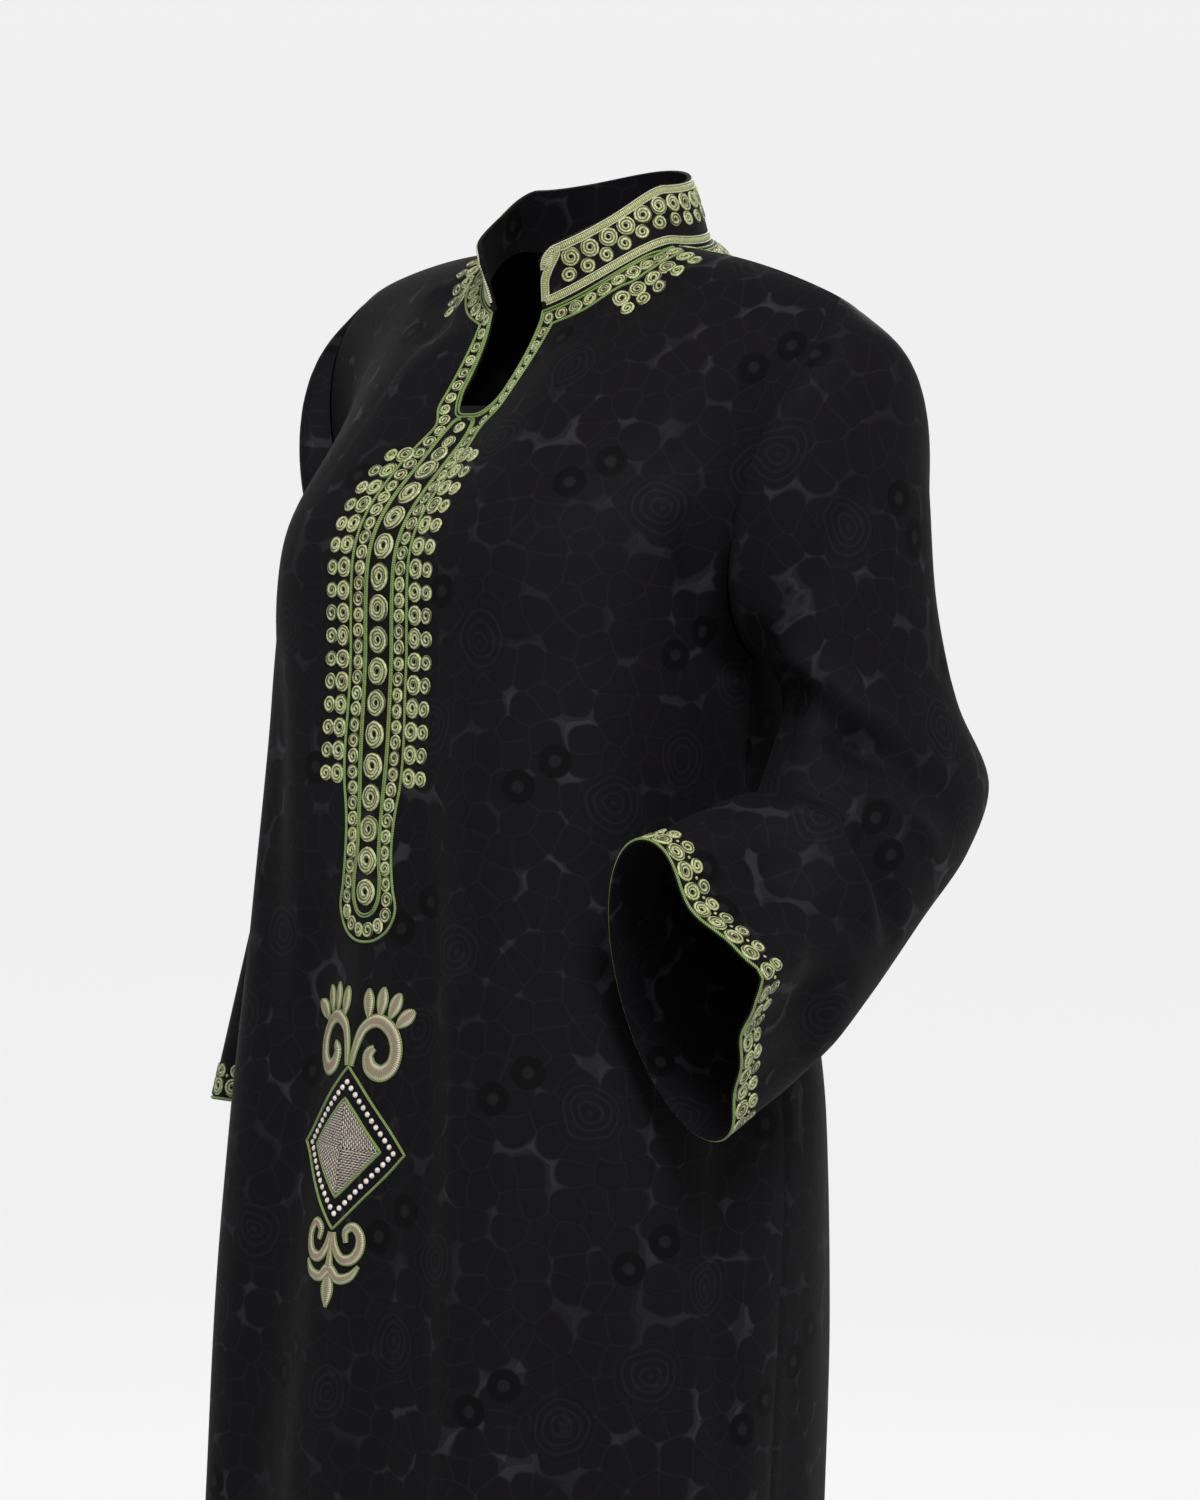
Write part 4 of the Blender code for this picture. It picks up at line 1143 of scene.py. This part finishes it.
def coiled_thread(name, colour, pale, turns, along, dark):
    """Couched thread: height follows a sine of the UV's two shares and the colour follows it, with painted
    shade in the grooves and painted highlights (glints) on its ridges.
    """
    material, tree, shader = new_material(name)
    parts = add_node(tree, "ShaderNodeSeparateXYZ", {0: flat_uv(tree)}).outputs
    phase = sloped(tree, parts[1], along, times(tree, parts[0], turns))
    height = ramp_between(tree, math_node(tree, "SINE", times(tree, phase, 2 * math.pi)), -0.9, 0.3)
    place = add_node(tree, "ShaderNodeTexCoord").outputs["Object"]
    # Painted highlights: random specks on the ridges, mixed toward the glint colour
    glint = times(tree, ramp_between(tree, noise(tree, place, 800.0), 0.50, 0.60), height)
    drift = ramp_between(tree, noise(tree, place, 160.0, detail=2.0), 0.35, 0.65)
    base = mixed_colour(tree, drift, colour, tuple(1.25 * c for c in colour))
    # Painted shade: the grooves, where the sine is low, are darkened to the share dark of the colour
    base = mixed_colour(tree, height, tuple(dark * c for c in colour), base)
    finish_surface(
        tree, shader, mixed_colour(tree, times(tree, glint, 0.85), base, pale), height, 0.9, 0.0005,
        Roughness=0.5, Specular_IOR_Level=0.3, Sheen_Weight=0.05,
    )
    return material


def satin_band(name, edge, middle):
    """Satin stitch across a band: pale at both edges, browner along the middle, in a sine of stitches, with
    painted shade in the grooves between them.
    """
    material, tree, shader = new_material(name)
    parts = add_node(tree, "ShaderNodeSeparateXYZ", {0: flat_uv(tree)}).outputs
    place = add_node(tree, "ShaderNodeTexCoord").outputs["Object"]
    off = math_node(tree, "ABSOLUTE", math_node(tree, "SUBTRACT", parts[0], 0.5))
    off = math_node(tree, "ADD", off, sloped(tree, noise(tree, place, 700.0), 0.24, -0.12))
    wave = math_node(tree, "SINE", times(tree, parts[1], 2 * math.pi * 780.0))
    height = ramp_between(tree, wave, -1.0, 0.6)
    base = mixed_colour(tree, ramp_between(tree, off, 0.14, 0.38), middle, edge)
    # Painted shade: the grooves between stitches are darkened toward the groove shade colour
    groove_shade = mixed_colour(tree, 0.62, base, SATIN_GROOVE_SHADE)
    finish_surface(
        tree, shader, mixed_colour(tree, height, groove_shade, base), height, 0.7, 0.0004,
        Roughness=0.42, Specular_IOR_Level=0.4,
    )
    return material


def finish_of(name):
    """The material of that name, made once from the current settings."""
    found = bpy.data.materials.get(name)
    if found:
        return found
    cords = bpy.context.scene.kaftan_cords
    olive, green, pale = tuple(cords.olive), tuple(cords.green), tuple(cords.pale)
    if name == "black_jacquard":
        return jacquard(name, bpy.context.scene.kaftan_cloth)
    if name == "gold_satin":
        return satin_band(name, pale, SATIN_MIDDLE)
    # colour, glint colour of the painted highlights, stitches across, stitches along, and how dark the
    # painted shade in the grooves is
    threads = {
        "olive_coil": (olive, pale, 1.0, 1.0, 0.16),
        "green_cord": (green, olive, 1.0, 620.0, 0.45),
        "border_satin": (tuple(BORDER_LIGHTER * c for c in olive), pale, 0.0, 700.0, 0.6),
        "pale_cord": (pale, PALE_GLINT, 1.0, 620.0, 0.5),
        "beads": (BEAD, BEAD_GLINT, 0.0, 1.0, 0.6),
        "grey_stitches": (GREY_STITCH, GREY_GLINT, 1.0, 400.0, 0.12),
    }
    return coiled_thread(name, *threads[name])


def finishes(*names):
    """The materials of those names, in their order on a piece."""
    return [finish_of(name) for name in names]


def settle(piece, node):
    """Makes a finished piece ride on the kaftan and stand for its solid."""
    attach(piece, "root")
    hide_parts(node)


def crease_depth(piece, cloth):
    """How far the creases push each grid point: a bell curve across each bent line, faded towards its ends.

    Each line is a quadratic curve on the edge chart, cut into 24 straight bits in space. A point counts its
    distance to the nearest bit. A line that starts on the worked edge keeps its full depth there."""
    depth = np.zeros(cloth.points.shape[:2])
    for owner, *line, half_width, height in CREASES:
        if owner != piece:
            continue
        first, bend, last = np.array(line).reshape(3, 2)
        t = np.linspace(0, 1, 25)[:, None]
        bend = 2 * bend - (first + last) / 2
        path = (1 - t) ** 2 * first + 2 * t * (1 - t) * bend + t**2 * last
        depth += bell_along(cloth, cloth.find(*path.T, "edge"), half_width, height, first[1] <= 0)
    return depth


def bell_along(cloth, places, half_width, height, full_start=False):
    """A bell curve of each grid point's distance to the line through the places, faded towards its ends."""
    path = cloth.on(*places, np.zeros(len(places[0])))
    apart = np.full(cloth.points.shape[:2], 9.0)
    share = np.zeros(apart.shape)
    bits = len(path) - 1
    for k in range(bits):
        ahead = path[k + 1] - path[k]
        bit = ((cloth.points - path[k]) * ahead).sum(-1) / (ahead @ ahead + 1e-12)
        bit = np.clip(bit, 0, 1)
        reach = np.linalg.norm(cloth.points - path[k] - bit[..., None] * ahead, axis=-1)
        share = np.where(reach < apart, (k + bit) / bits, share)
        apart = np.minimum(apart, reach)
    ends = smooth_step((1 - share) / CREASE_FADE)
    if not full_start:
        ends = ends * smooth_step(share / CREASE_FADE)
    return height * np.exp(-((apart / half_width) ** 2)) * ends


def neck_hollow(cloth):
    """The dip beside the neck on both sides of the front, where the cloth falls away from the collar."""
    across = np.linspace(*NECK_HOLLOW["along"], 25)
    depth = np.zeros(cloth.points.shape[:2])
    for side in (-1, 1):
        places = cloth.under_seam(side * across, NECK_HOLLOW["distance"])
        depth += bell_along(cloth, places, NECK_HOLLOW["half_width"], NECK_HOLLOW["depth"])
    return depth


def seam_dip(cloth, sides, top):
    """A shallow dip along sewn edges, so that a seam shows: a bell curve of the distance from the edge."""
    along = travelled(cloth.points, 1)
    dip = np.zeros(along.shape)
    distances = [np.minimum(along, along[:, -1:] - along)] if sides else []
    distances += [travelled(cloth.points, 0)] if top else []
    for distance in distances:
        dip += SEAM_DIP["depth"] * np.exp(-((distance / SEAM_DIP["half_width"]) ** 2))
    return dip


CLOTHS = {}


def make_cloths():
    """All pieces of cloth as grids that meet at their seams, with their creases, made once."""
    if CLOTHS:
        return CLOTHS
    front = panel_grid(True)
    back = panel_grid(False)
    columns = front.shape[1]
    for side, stations, mirror in (("left", LEFT_SLEEVE, 1.0), ("right", RIGHT_SLEEVE, -1.0)):
        front_edge = front[: YOKE_ROWS + 1, columns - 1 if mirror > 0 else 0]
        back_edge = back[: YOKE_ROWS + 1, 0 if mirror > 0 else back.shape[1] - 1]
        grid = sleeve_grid(stations, mirror, np.concatenate([front_edge, back_edge[-2:0:-1]]))
        grid[0] += unit(grid[1] - grid[0]) * SLEEVE_SEAM_GAP
        grid = np.roll(grid, -YOKE_ROWS, axis=1)
        CLOTHS[f"sleeve_{side}"] = Cloth(grid, -mirror, wrap=True, worked="bottom")
    CLOTHS["front"] = Cloth(front, 1.0, middle=NECK_CELLS + SHOULDER_CELLS + MIDDLE_CELLS // 2)
    CLOTHS["back"] = Cloth(back, 1.0, middle=NECK_CELLS + SHOULDER_CELLS)
    CLOTHS["collar"] = Cloth(collar_grid(), 1.0, worked="both")
    for name, cloth in CLOTHS.items():
        if name == "collar":
            continue
        push = crease_depth(name, cloth) + seam_dip(cloth, not cloth.wrap, cloth.wrap)
        if name == "front":
            push += neck_hollow(cloth)
        cloth.shape(cloth.points + cloth.normals * push[..., None])
    return CLOTHS


def declare_sheet(cloth):
    """Takes the piece's points, with the first column again at the end on a tube, and makes nothing more of
    them.
    """
    points = cloth.closed(cloth.points)


def build_cloth(name, kept=None):
    """One piece of cloth as a thin shell on its solid's form."""
    cloth = make_cloths()[name]
    sewn = Sewn()
    thickness = COLLAR_WALL if name == "collar" else bpy.context.scene.kaftan_cloth.thickness
    add_shell(sewn, cloth, thickness, kept)
    piece = sewn.make(f"{name}_cloth", [finish_of("black_jacquard")], sharp=50)
    settle(piece, name)
    declare_sheet(cloth)


class KAFTAN_OT_front(bpy.types.Operator):
    """Builds the front panel, with the open slit at its neck"""

    bl_idname = "kaftan.front"
    bl_label = "Front"

    def execute(self, context):
        cloth = make_cloths()["front"]
        rows, columns = cloth.points.shape[:2]
        kept = np.ones((rows - 1, columns - 1), bool)
        kept[:SLIT_ROWS, cloth.middle - MIDDLE_CELLS // 2 : cloth.middle + MIDDLE_CELLS // 2] = False
        build_cloth("front", kept)
        return {"FINISHED"}


class KAFTAN_OT_back(bpy.types.Operator):
    """Builds the back panel"""

    bl_idname = "kaftan.back"
    bl_label = "Back"

    def execute(self, context):
        build_cloth("back")
        return {"FINISHED"}


class KAFTAN_OT_sleeves(bpy.types.Operator):
    """Builds the two bell sleeves, the left one bent and the right one hanging"""

    bl_idname = "kaftan.sleeves"
    bl_label = "Sleeves"

    def execute(self, context):
        build_cloth("sleeve_left")
        build_cloth("sleeve_right")
        return {"FINISHED"}


class KAFTAN_OT_collar(bpy.types.Operator):
    """Builds the stiffened stand collar"""

    bl_idname = "kaftan.collar"
    bl_label = "Collar"

    def execute(self, context):
        build_cloth("collar")
        return {"FINISHED"}


def slit_side(cloth, offset, count=9):
    """Points beside the slit on the level chart, from its top corner down, at an even distance from its edge.

    The first is where the line at that distance under the neck seam arrives."""
    column = cloth.middle + MIDDLE_CELLS // 2
    rows = np.linspace(0, SLIT_ROWS, count).astype(int)
    edge = np.stack([values[rows, column] for values in cloth.charts["level"]], 1)
    ahead = np.gradient(edge, axis=0)
    beside = edge + unit(np.stack([ahead[:, 1], -ahead[:, 0]], 1)) * offset
    corner = cloth.charts["edge"][0][0, column] + CORNER_SHARE * offset
    row, column = cloth.under_seam([corner], offset)
    start = np.stack([read_grid(values, row, column) for values in cloth.charts["level"]], 1)
    return np.concatenate([start, beside[beside[:, 1] > start[0, 1] + 0.004]])


def both_sides(half):
    """A line from the right side's top, round its lowest point on the middle, up to the left side's top."""
    return np.concatenate([half, half[-2::-1] * MIRRORED])


class KAFTAN_OT_bib(bpy.types.Operator):
    """Lays the bib's coiled discs, chains, combs and cords on the front"""

    bl_idname = "kaftan.bib"
    bl_label = "Bib"

    def execute(self, context):
        cloth = make_cloths()["front"]
        cords = context.scene.kaftan_cords
        sewn = Sewn()
        self.lay_discs(sewn, cloth, cords.coil_height)
        self.lay_cords(sewn, cloth, cords.cord_width)
        self.lay_chain(sewn, cloth, cords.coil_height)
        piece = sewn.make("bib_embroidery", finishes("olive_coil", "green_cord"))
        settle(piece, "bib_braid")
        return {"FINISHED"}

    def lay_discs(self, sewn, cloth, height):
        """The large discs down the middle, the small ones above them, and the combs at both sides."""
        d = BIB_DISCS
        downs = d["first"] + d["pitch"] * np.arange(d["count"])
        add_discs(sewn, cloth, cloth.find(0 * downs, downs, "level"), d["radius"], height * 1.15, sides=16)
        radii, downs = np.array(FILLER_DISCS).T
        add_discs(sewn, cloth, cloth.find(0 * downs, downs, "level"), radii, height)
        c = BIB_COMB
        number = np.arange(c["count"])
        downs = c["first"] + c["pitch"] * number
        pulled = c["pull"] * np.exp(-number / 0.9)
        for side in (-1, 1):
            for across, lower, radius in zip(c["rows"], (0.0, 0.0004), (LARGE_DISC, SMALL_DISC)):
                places = cloth.find(side * (across - pulled), downs + lower, "level")
                add_discs(sewn, cloth, places, radius, height)

    def lay_cords(self, sewn, cloth, width):
        """The outer cord, the double inner cord, and the two cords that run round the slit's lower end."""
        slit_lines = [distance for distance, _ in NECK_LINES]
        outer = np.concatenate([slit_side(cloth, slit_lines[-1]), np.array(OUTER_CORD)[:, ::-1]])
        outer = cloth.find(*even_path(both_sides(outer), CORD_STEP).T, "level")
        add_cord(sewn, cloth, outer, width * 1.1, 0.0010, 1)
        inner = even_path(both_sides(np.array(INNER_CORD)[:, ::-1]), CORD_STEP)
        for shift in (-0.0009, 0.0009):
            add_cord(sewn, cloth, cloth.find(*inner.T, "level"), width * 0.8, CORD_HEIGHT, 1, shift=shift)
        bottom = np.array([(0.0085, SLIT_BOTTOM + 0.0022), (0.0, SLIT_BOTTOM + 0.0026)])
        for offset in slit_lines[:-1]:
            lower = bottom + np.array([[offset - 0.002, 0.0], [0.0, 0.0]])
            lower = lower + np.array([0.0, offset - slit_lines[0]])
            rim = even_path(both_sides(np.concatenate([slit_side(cloth, offset)[:-1], lower])), CORD_STEP)
            add_cord(sewn, cloth, cloth.find(*rim.T, "level"), width * 0.85, CORD_HEIGHT, 1)

    def lay_chain(self, sewn, cloth, height):
        """The chain of small discs beside the slit, down the bib and round its end."""
        chain = np.concatenate([slit_side(cloth, NECK_CHAIN["distance"]), np.array(CHAIN_LINE)[:, ::-1]])
        chain = even_path(both_sides(chain), NECK_CHAIN["pitch"])
        radii = np.where(chain[:, 1] < 0.11, NECK_CHAIN["slit_radius"], SMALL_DISC * 0.97)
        add_discs(sewn, cloth, cloth.find(*chain.T, "level"), radii, height)


def leaf_path(across, down, tilt, length, width):
    """A leaf's axis from its foot to its tip, with its width: a half sine, fuller towards the tip."""
    t = np.linspace(-0.5, 0.5, 13)
    turned = math.radians(tilt)
    breadth = width * np.sin(np.pi * (t + 0.5) ** 1.25) ** 0.62
    breadth[[0, -1]] = LEAF_TIP_WIDTH
    along = length * t
    return np.stack([across + along * math.sin(turned), down - along * math.cos(turned), breadth], 1)


def diamond_path(inset, step):
    """A closed diamond, inset evenly from the outer one, with its four corners kept."""
    d = DIAMOND
    half_height = (d["bottom"] - d["top"]) / 2
    slope = math.hypot(half_height, d["half_width"])
    shrink = 1 - inset * slope / (half_height * d["half_width"])
    corners = np.array([(0, -1), (1, 0), (0, 1), (-1, 0), (0, -1)]) * np.array([d["half_width"], half_height])
    corners = corners * shrink + np.array([0.0, (d["bottom"] + d["top"]) / 2])
    travel = lengths_along(corners)
    count = 4 * max(1, int(round(travel[-1] / 4 / step)))
    at = np.linspace(0.0, travel[-1], count, endpoint=False)
    return np.stack([np.interp(at, travel, corners[:, k]) for k in (0, 1)], 1)


def add_outlined(sewn, cloth, path, height=BAND_HEIGHT):
    """A satin band with a thin cord along both of its edges."""
    places = cloth.find(path[:, 0], path[:, 1], "level")
    add_cord(sewn, cloth, places, path[:, 2], height, 0)
    for side in (-0.5, 0.5):
        add_cord(sewn, cloth, places, 0.0010, 0.0008, 1, shift=side * path[:, 2])


class KAFTAN_OT_motif(bpy.types.Operator):
    """Lays the motif under the bib: fans of leaves, scrolls, a beaded diamond and a drop leaf"""

    bl_idname = "kaftan.motif"
    bl_label = "Motif"

    def execute(self, context):
        cloth = make_cloths()["front"]
        sewn = Sewn()
        for side in (-1, 1):
            for across, down, tilt, *size in LEAVES:
                add_outlined(sewn, cloth, leaf_path(side * across, down, side * tilt, *size))
            for table in (UPPER_SCROLL, LOWER_SCROLL):
                scroll = even_path(np.array(table) * np.array([side, 1.0, 1.0]), BAND_STEP)
                add_outlined(sewn, cloth, scroll, SCROLL_HEIGHT)
        for table in (CRESCENT, MOTIF_STEM):
            add_outlined(sewn, cloth, even_path(table, BAND_STEP))
        add_outlined(sewn, cloth, leaf_path(*DROP_LEAF))
        for inset, width in DIAMOND_LINES:
            cord = cloth.find(*diamond_path(inset, 0.0026).T, "level")
            add_cord(sewn, cloth, cord, width, 0.0011, 1, closed=True)
        d = DIAMOND_FILLING
        for inset in np.arange(d["first"], d["last"], d["pitch"]):
            cord = cloth.find(*diamond_path(inset, 0.0022).T, "level")
            add_cord(sewn, cloth, cord, d["width"], CORD_HEIGHT, 3, closed=True)
        d = DIAMOND_BEADS
        beads = cloth.find(*diamond_path(d["inset"], d["pitch"]).T, "level")
        add_beads(sewn, cloth, beads, d["radius"], d["height"], 2)
        piece = sewn.make("motif_embroidery", finishes("gold_satin", "green_cord", "beads", "grey_stitches"))
        settle(piece, "motif_braid")
        return {"FINISHED"}


def add_edging(sewn, cloth, side, first, last, height, comb_first, comb_last):
    """Cords and discs along the neck seam on one side of the middle, and a comb on part of it.

    Where the edging starts at the slit's corner, it spreads by a smooth step beyond that corner."""
    at_slit = first > 0.01
    turn = CORNER_SHARE if at_slit else 0.0

    def spread(across):
        return 1 + NECK_SPREAD * (smooth_step((across - first) / SPREAD_LENGTH) if at_slit else 1.0)

    for distance, width in NECK_LINES:
        across = np.arange(first + turn * distance, last, NECK_CORD_STEP)
        seam_line = cloth.under_seam(side * across, distance * spread(across))
        add_cord(sewn, cloth, seam_line, width, CORD_HEIGHT, 1)
    pitch = NECK_CHAIN["pitch"]
    across = np.arange(first + pitch * (1.3 if at_slit else 0.5), last, pitch)
    places = cloth.under_seam(side * across, NECK_CHAIN["distance"] * spread(across))
    add_discs(sewn, cloth, places, NECK_CHAIN["radius"] * (0.4 + 0.6 * spread(across)), height)
    across = np.arange(comb_first, comb_last, NECK_COMB["pitch"])
    for distance, radius in NECK_COMB["rows"]:
        add_discs(sewn, cloth, cloth.under_seam(side * across, distance), radius, height)


class KAFTAN_OT_neck(bpy.types.Operator):
    """Lays the cords, chain and comb round the neck, on the front and the back"""

    bl_idname = "kaftan.neck"
    bl_label = "Neck edging"

    def execute(self, context):
        cloths = make_cloths()
        height = context.scene.kaftan_cords.coil_height
        threads = finishes("olive_coil", "green_cord")
        front, back = cloths["front"], cloths["back"]
        seam = front.charts["edge"][0][0]
        corner = seam[front.middle + MIDDLE_CELLS // 2]
        end = seam[front.middle + MIDDLE_CELLS // 2 + NECK_CELLS]
        for name, side in (("left", 1), ("right", -1)):
            sewn = Sewn()
            add_edging(sewn, front, side, corner, end - 0.0005, height, corner + NECK_COMB["first"], end)
            piece = sewn.make(f"neck_embroidery_{name}", threads)
            settle(piece, f"neck_braid_{name}")
        sewn = Sewn()
        reach = back.charts["edge"][0][0][back.middle + NECK_CELLS] - 0.0005
        for side in (1, -1):
            add_edging(sewn, back, side, 0.0, reach, height, NECK_COMB["pitch"] / 2, reach)
        piece = sewn.make("neck_embroidery_back", threads)
        settle(piece, "neck_braid_back")
        return {"FINISHED"}


class KAFTAN_OT_collar_braid(bpy.types.Operator):
    """Lays the satin borders and the paired discs on the collar"""

    bl_idname = "kaftan.collar_braid"
    bl_label = "Collar braid"

    def execute(self, context):
        cloth = make_cloths()["collar"]
        height = context.scene.kaftan_cords.coil_height
        sewn = Sewn()
        steady, up = cloth.charts["edge"]
        length = steady[0, -1]
        b = COLLAR_BORDER
        for path in self.border_lines(steady[0], up[-1]):
            places = cloth.find(*even_path(path, 0.0028).T, "edge")
            add_cord(sewn, cloth, places, b["width"], 0.0008, 2)
            for side in (-1, 1):
                add_cord(sewn, cloth, places, 0.0011, 0.0011, 3, shift=side * b["cord"])
        p = COLLAR_PAIRS
        across = np.arange(p["first"], length - p["last"], p["pitch"])
        high = np.interp(across, steady[0], up[-1])
        for shift, below, radius in COLLAR_DISCS:
            add_discs(sewn, cloth, cloth.find(across + shift, high - below, "edge"), radius, height)
        threads = finishes("olive_coil", "green_cord", "border_satin", "pale_cord")
        piece = sewn.make("collar_embroidery", threads)
        settle(piece, "collar_braid")
        return {"FINISHED"}

    def border_lines(self, steady, top_up):
        """The border's two lines: up one end, along the top and down the other, and along the bottom.

        At each top corner the line first turns a quarter round from the top back to the end."""
        length = steady[-1]
        inset, low, corner, width = (COLLAR_BORDER[key] for key in ("inset", "low", "corner", "width"))
        quarter = np.radians(np.linspace(0, 90, 6))
        left = np.stack([inset + corner * (1 - np.sin(quarter)), -corner * (1 - np.cos(quarter))], 1)
        between = np.linspace(left[-1, 0], length - left[-1, 0], 60)[1:-1]
        across = np.concatenate([left[:, 0], between, length - left[::-1, 0]])
        drop = np.concatenate([left[:, 1], 0 * between, left[::-1, 1]])
        height = np.interp(np.clip(across, 0.02, length - 0.02), steady, top_up)
        top = np.stack([across, height - width + drop], 1)
        end = np.array([[inset, low], [inset, 0.010], [inset, 0.018]])
        other_end = (end * MIRRORED + np.array([length, 0]))[::-1]
        bottom = np.stack([np.linspace(inset, length - inset, 90), np.full(90, low)], 1)
        return np.concatenate([end, top, other_end]), bottom


class KAFTAN_OT_cuffs(bpy.types.Operator):
    """Lays the cord and the paired discs round each cuff"""

    bl_idname = "kaftan.cuffs"
    bl_label = "Cuff braids"

    def execute(self, context):
        height = context.scene.kaftan_cords.coil_height
        for side in ("left", "right"):
            cloth = make_cloths()[f"sleeve_{side}"]
            sewn = Sewn()
            length = cloth.reach
            across = np.linspace(0, length, int(length / CORD_STEP), endpoint=False)
            edge = cloth.find(across, np.full_like(across, CUFF_CORD), "edge")
            add_cord(sewn, cloth, edge, 0.0020, 0.0011, 1, closed=True)
            pairs = int(length / CUFF_PITCH)
            across = (np.arange(pairs) + 0.5) * length / pairs
            for distance, radius in CUFF_DISCS:
                add_discs(sewn, cloth, cloth.find(across, 0 * across + distance, "edge"), radius, height)
            dots = cloth.find(across + length / pairs / 2, 0 * across + CUFF_DOTS["distance"], "edge")
            add_beads(sewn, cloth, dots, CUFF_DOTS["radius"], CUFF_DOTS["height"], 0)
            piece = sewn.make(f"cuff_embroidery_{side}", finishes("olive_coil", "green_cord"))
            settle(piece, f"cuff_braid_{side}")
        return {"FINISHED"}


def soft_light(name, place, size, power):
    """A round area light that looks at the kaftan."""
    data = bpy.data.lights.new(name, "AREA")
    data.shape = "DISK"
    data.size = size
    data.energy = power
    lamp = bpy.data.objects.new(name, data)
    bpy.context.scene.collection.objects.link(lamp)
    lamp.location = place
    lamp.rotation_mode = "QUATERNION"
    lamp.rotation_quaternion = (Vector(LIGHT_TARGET) - Vector(place)).to_track_quat("-Z", "Y")


def add_floor(colour):
    """The pale floor and backdrop in one: a bowl's profile turned about the middle, with a faint glow."""
    travel = lengths_along(np.array(FLOOR_PROFILE))
    profile = spline(travel, FLOOR_PROFILE, np.linspace(0.002, travel[-1], FLOOR_RINGS))
    turn = np.linspace(0, 2 * np.pi, FLOOR_SIDES, endpoint=False)
    reach = profile[:, :1]
    height = np.repeat(profile[:, 1:] + (-HEM_DROP - FLOOR_CLEARANCE), FLOOR_SIDES, 1)
    sewn = Sewn()
    quads = grid_quads(FLOOR_RINGS, FLOOR_SIDES, True)[0]
    points = np.stack([reach * np.cos(turn), reach * np.sin(turn), height], -1)
    sewn.add(points, quads, np.zeros((len(quads), 4, 2)))
    material, _, shader = new_material("backdrop")
    shader.inputs["Base Color"].default_value = (*colour, 1.0)
    shader.inputs["Roughness"].default_value = 0.95
    shader.inputs["Specular IOR Level"].default_value = 0.1
    shader.inputs["Emission Color"].default_value = (1.0, 1.0, 1.0, 1.0)
    shader.inputs["Emission Strength"].default_value = BACKDROP_GLOW
    material.cycles.emission_sampling = "NONE"
    sewn.make("backdrop", [material])


def add_camera(scene):
    """The camera, placed by its angles and distance from its target, then rolled about its own axis."""
    c = CAMERA
    data = bpy.data.cameras.new("camera")
    data.lens = c["lens"]
    data.sensor_width = 36.0
    data.clip_end = 60.0
    camera = bpy.data.objects.new("camera", data)
    scene.collection.objects.link(camera)
    a, e = math.radians(c["azimuth"]), math.radians(c["elevation"])
    back = Vector((math.sin(a) * math.cos(e), -math.cos(a) * math.cos(e), math.sin(e)))
    right = Vector((math.cos(a), math.sin(a), 0.0))
    axes = Matrix((right, back.cross(right), back)).transposed()
    turned = axes @ Matrix.Rotation(math.radians(c["roll"]), 3, "Z")
    camera.matrix_world = Matrix.Translation(Vector(CAMERA_TARGET) + back * c["distance"]) @ turned.to_4x4()
    scene.camera = camera


class KAFTAN_OT_stage(bpy.types.Operator):
    """Sets up the pale floor, the soft lights and the camera"""

    bl_idname = "kaftan.stage"
    bl_label = "Stage"

    def execute(self, context):
        scene = context.scene
        settings = scene.kaftan_stage
        add_floor(settings.backdrop)
        world = scene.world or bpy.data.worlds.new("studio")
        scene.world = world
        world.use_nodes = True
        sky = world.node_tree.nodes["Background"]
        sky.inputs["Color"].default_value = (1.0, 1.0, 1.0, 1.0)
        sky.inputs["Strength"].default_value = SKY_STRENGTH * settings.light
        for name, (place, size, power) in LIGHTS.items():
            soft_light(name, place, size, power * settings.light)
        scene.view_settings.view_transform = "Standard"
        add_camera(scene)
        return {"FINISHED"}


class KAFTAN_PT_panel(bpy.types.Panel):
    """The kaftan's settings and pieces"""

    bl_idname = "KAFTAN_PT_panel"
    bl_label = "Kaftan"
    bl_space_type = "VIEW_3D"
    bl_region_type = "UI"
    bl_category = "Kaftan"

    def draw(self, context):
        for group in ("kaftan_cloth", "kaftan_cords", "kaftan_stage"):
            settings = getattr(context.scene, group)
            box = self.layout.box()
            for key in settings.bl_rna.properties.keys():
                if key not in ("rna_type", "name"):
                    box.prop(settings, key)
        for operator in OPERATORS:
            self.layout.operator(operator.bl_idname)


GROUPS = {"kaftan_cloth": KaftanCloth, "kaftan_cords": KaftanCords, "kaftan_stage": KaftanStage}
OPERATORS = (
    KAFTAN_OT_front,
    KAFTAN_OT_back,
    KAFTAN_OT_sleeves,
    KAFTAN_OT_collar,
    KAFTAN_OT_bib,
    KAFTAN_OT_motif,
    KAFTAN_OT_neck,
    KAFTAN_OT_collar_braid,
    KAFTAN_OT_cuffs,
    KAFTAN_OT_stage,
)


def register():
    for item in (*GROUPS.values(), *OPERATORS, KAFTAN_PT_panel):
        bpy.utils.register_class(item)
    for name, group in GROUPS.items():
        setattr(bpy.types.Scene, name, PointerProperty(type=group))


def unregister():
    for name in GROUPS:
        delattr(bpy.types.Scene, name)
    for item in reversed((*GROUPS.values(), *OPERATORS, KAFTAN_PT_panel)):
        bpy.utils.unregister_class(item)


def main():
    """Builds every piece in order."""
    register()
    bpy.ops.kaftan.front()
    bpy.ops.kaftan.back()
    bpy.ops.kaftan.sleeves()
    bpy.ops.kaftan.collar()
    bpy.ops.kaftan.bib()
    bpy.ops.kaftan.motif()
    bpy.ops.kaftan.neck()
    bpy.ops.kaftan.collar_braid()
    bpy.ops.kaftan.cuffs()
    bpy.ops.kaftan.stage()


if __name__ == "__main__":
    main()
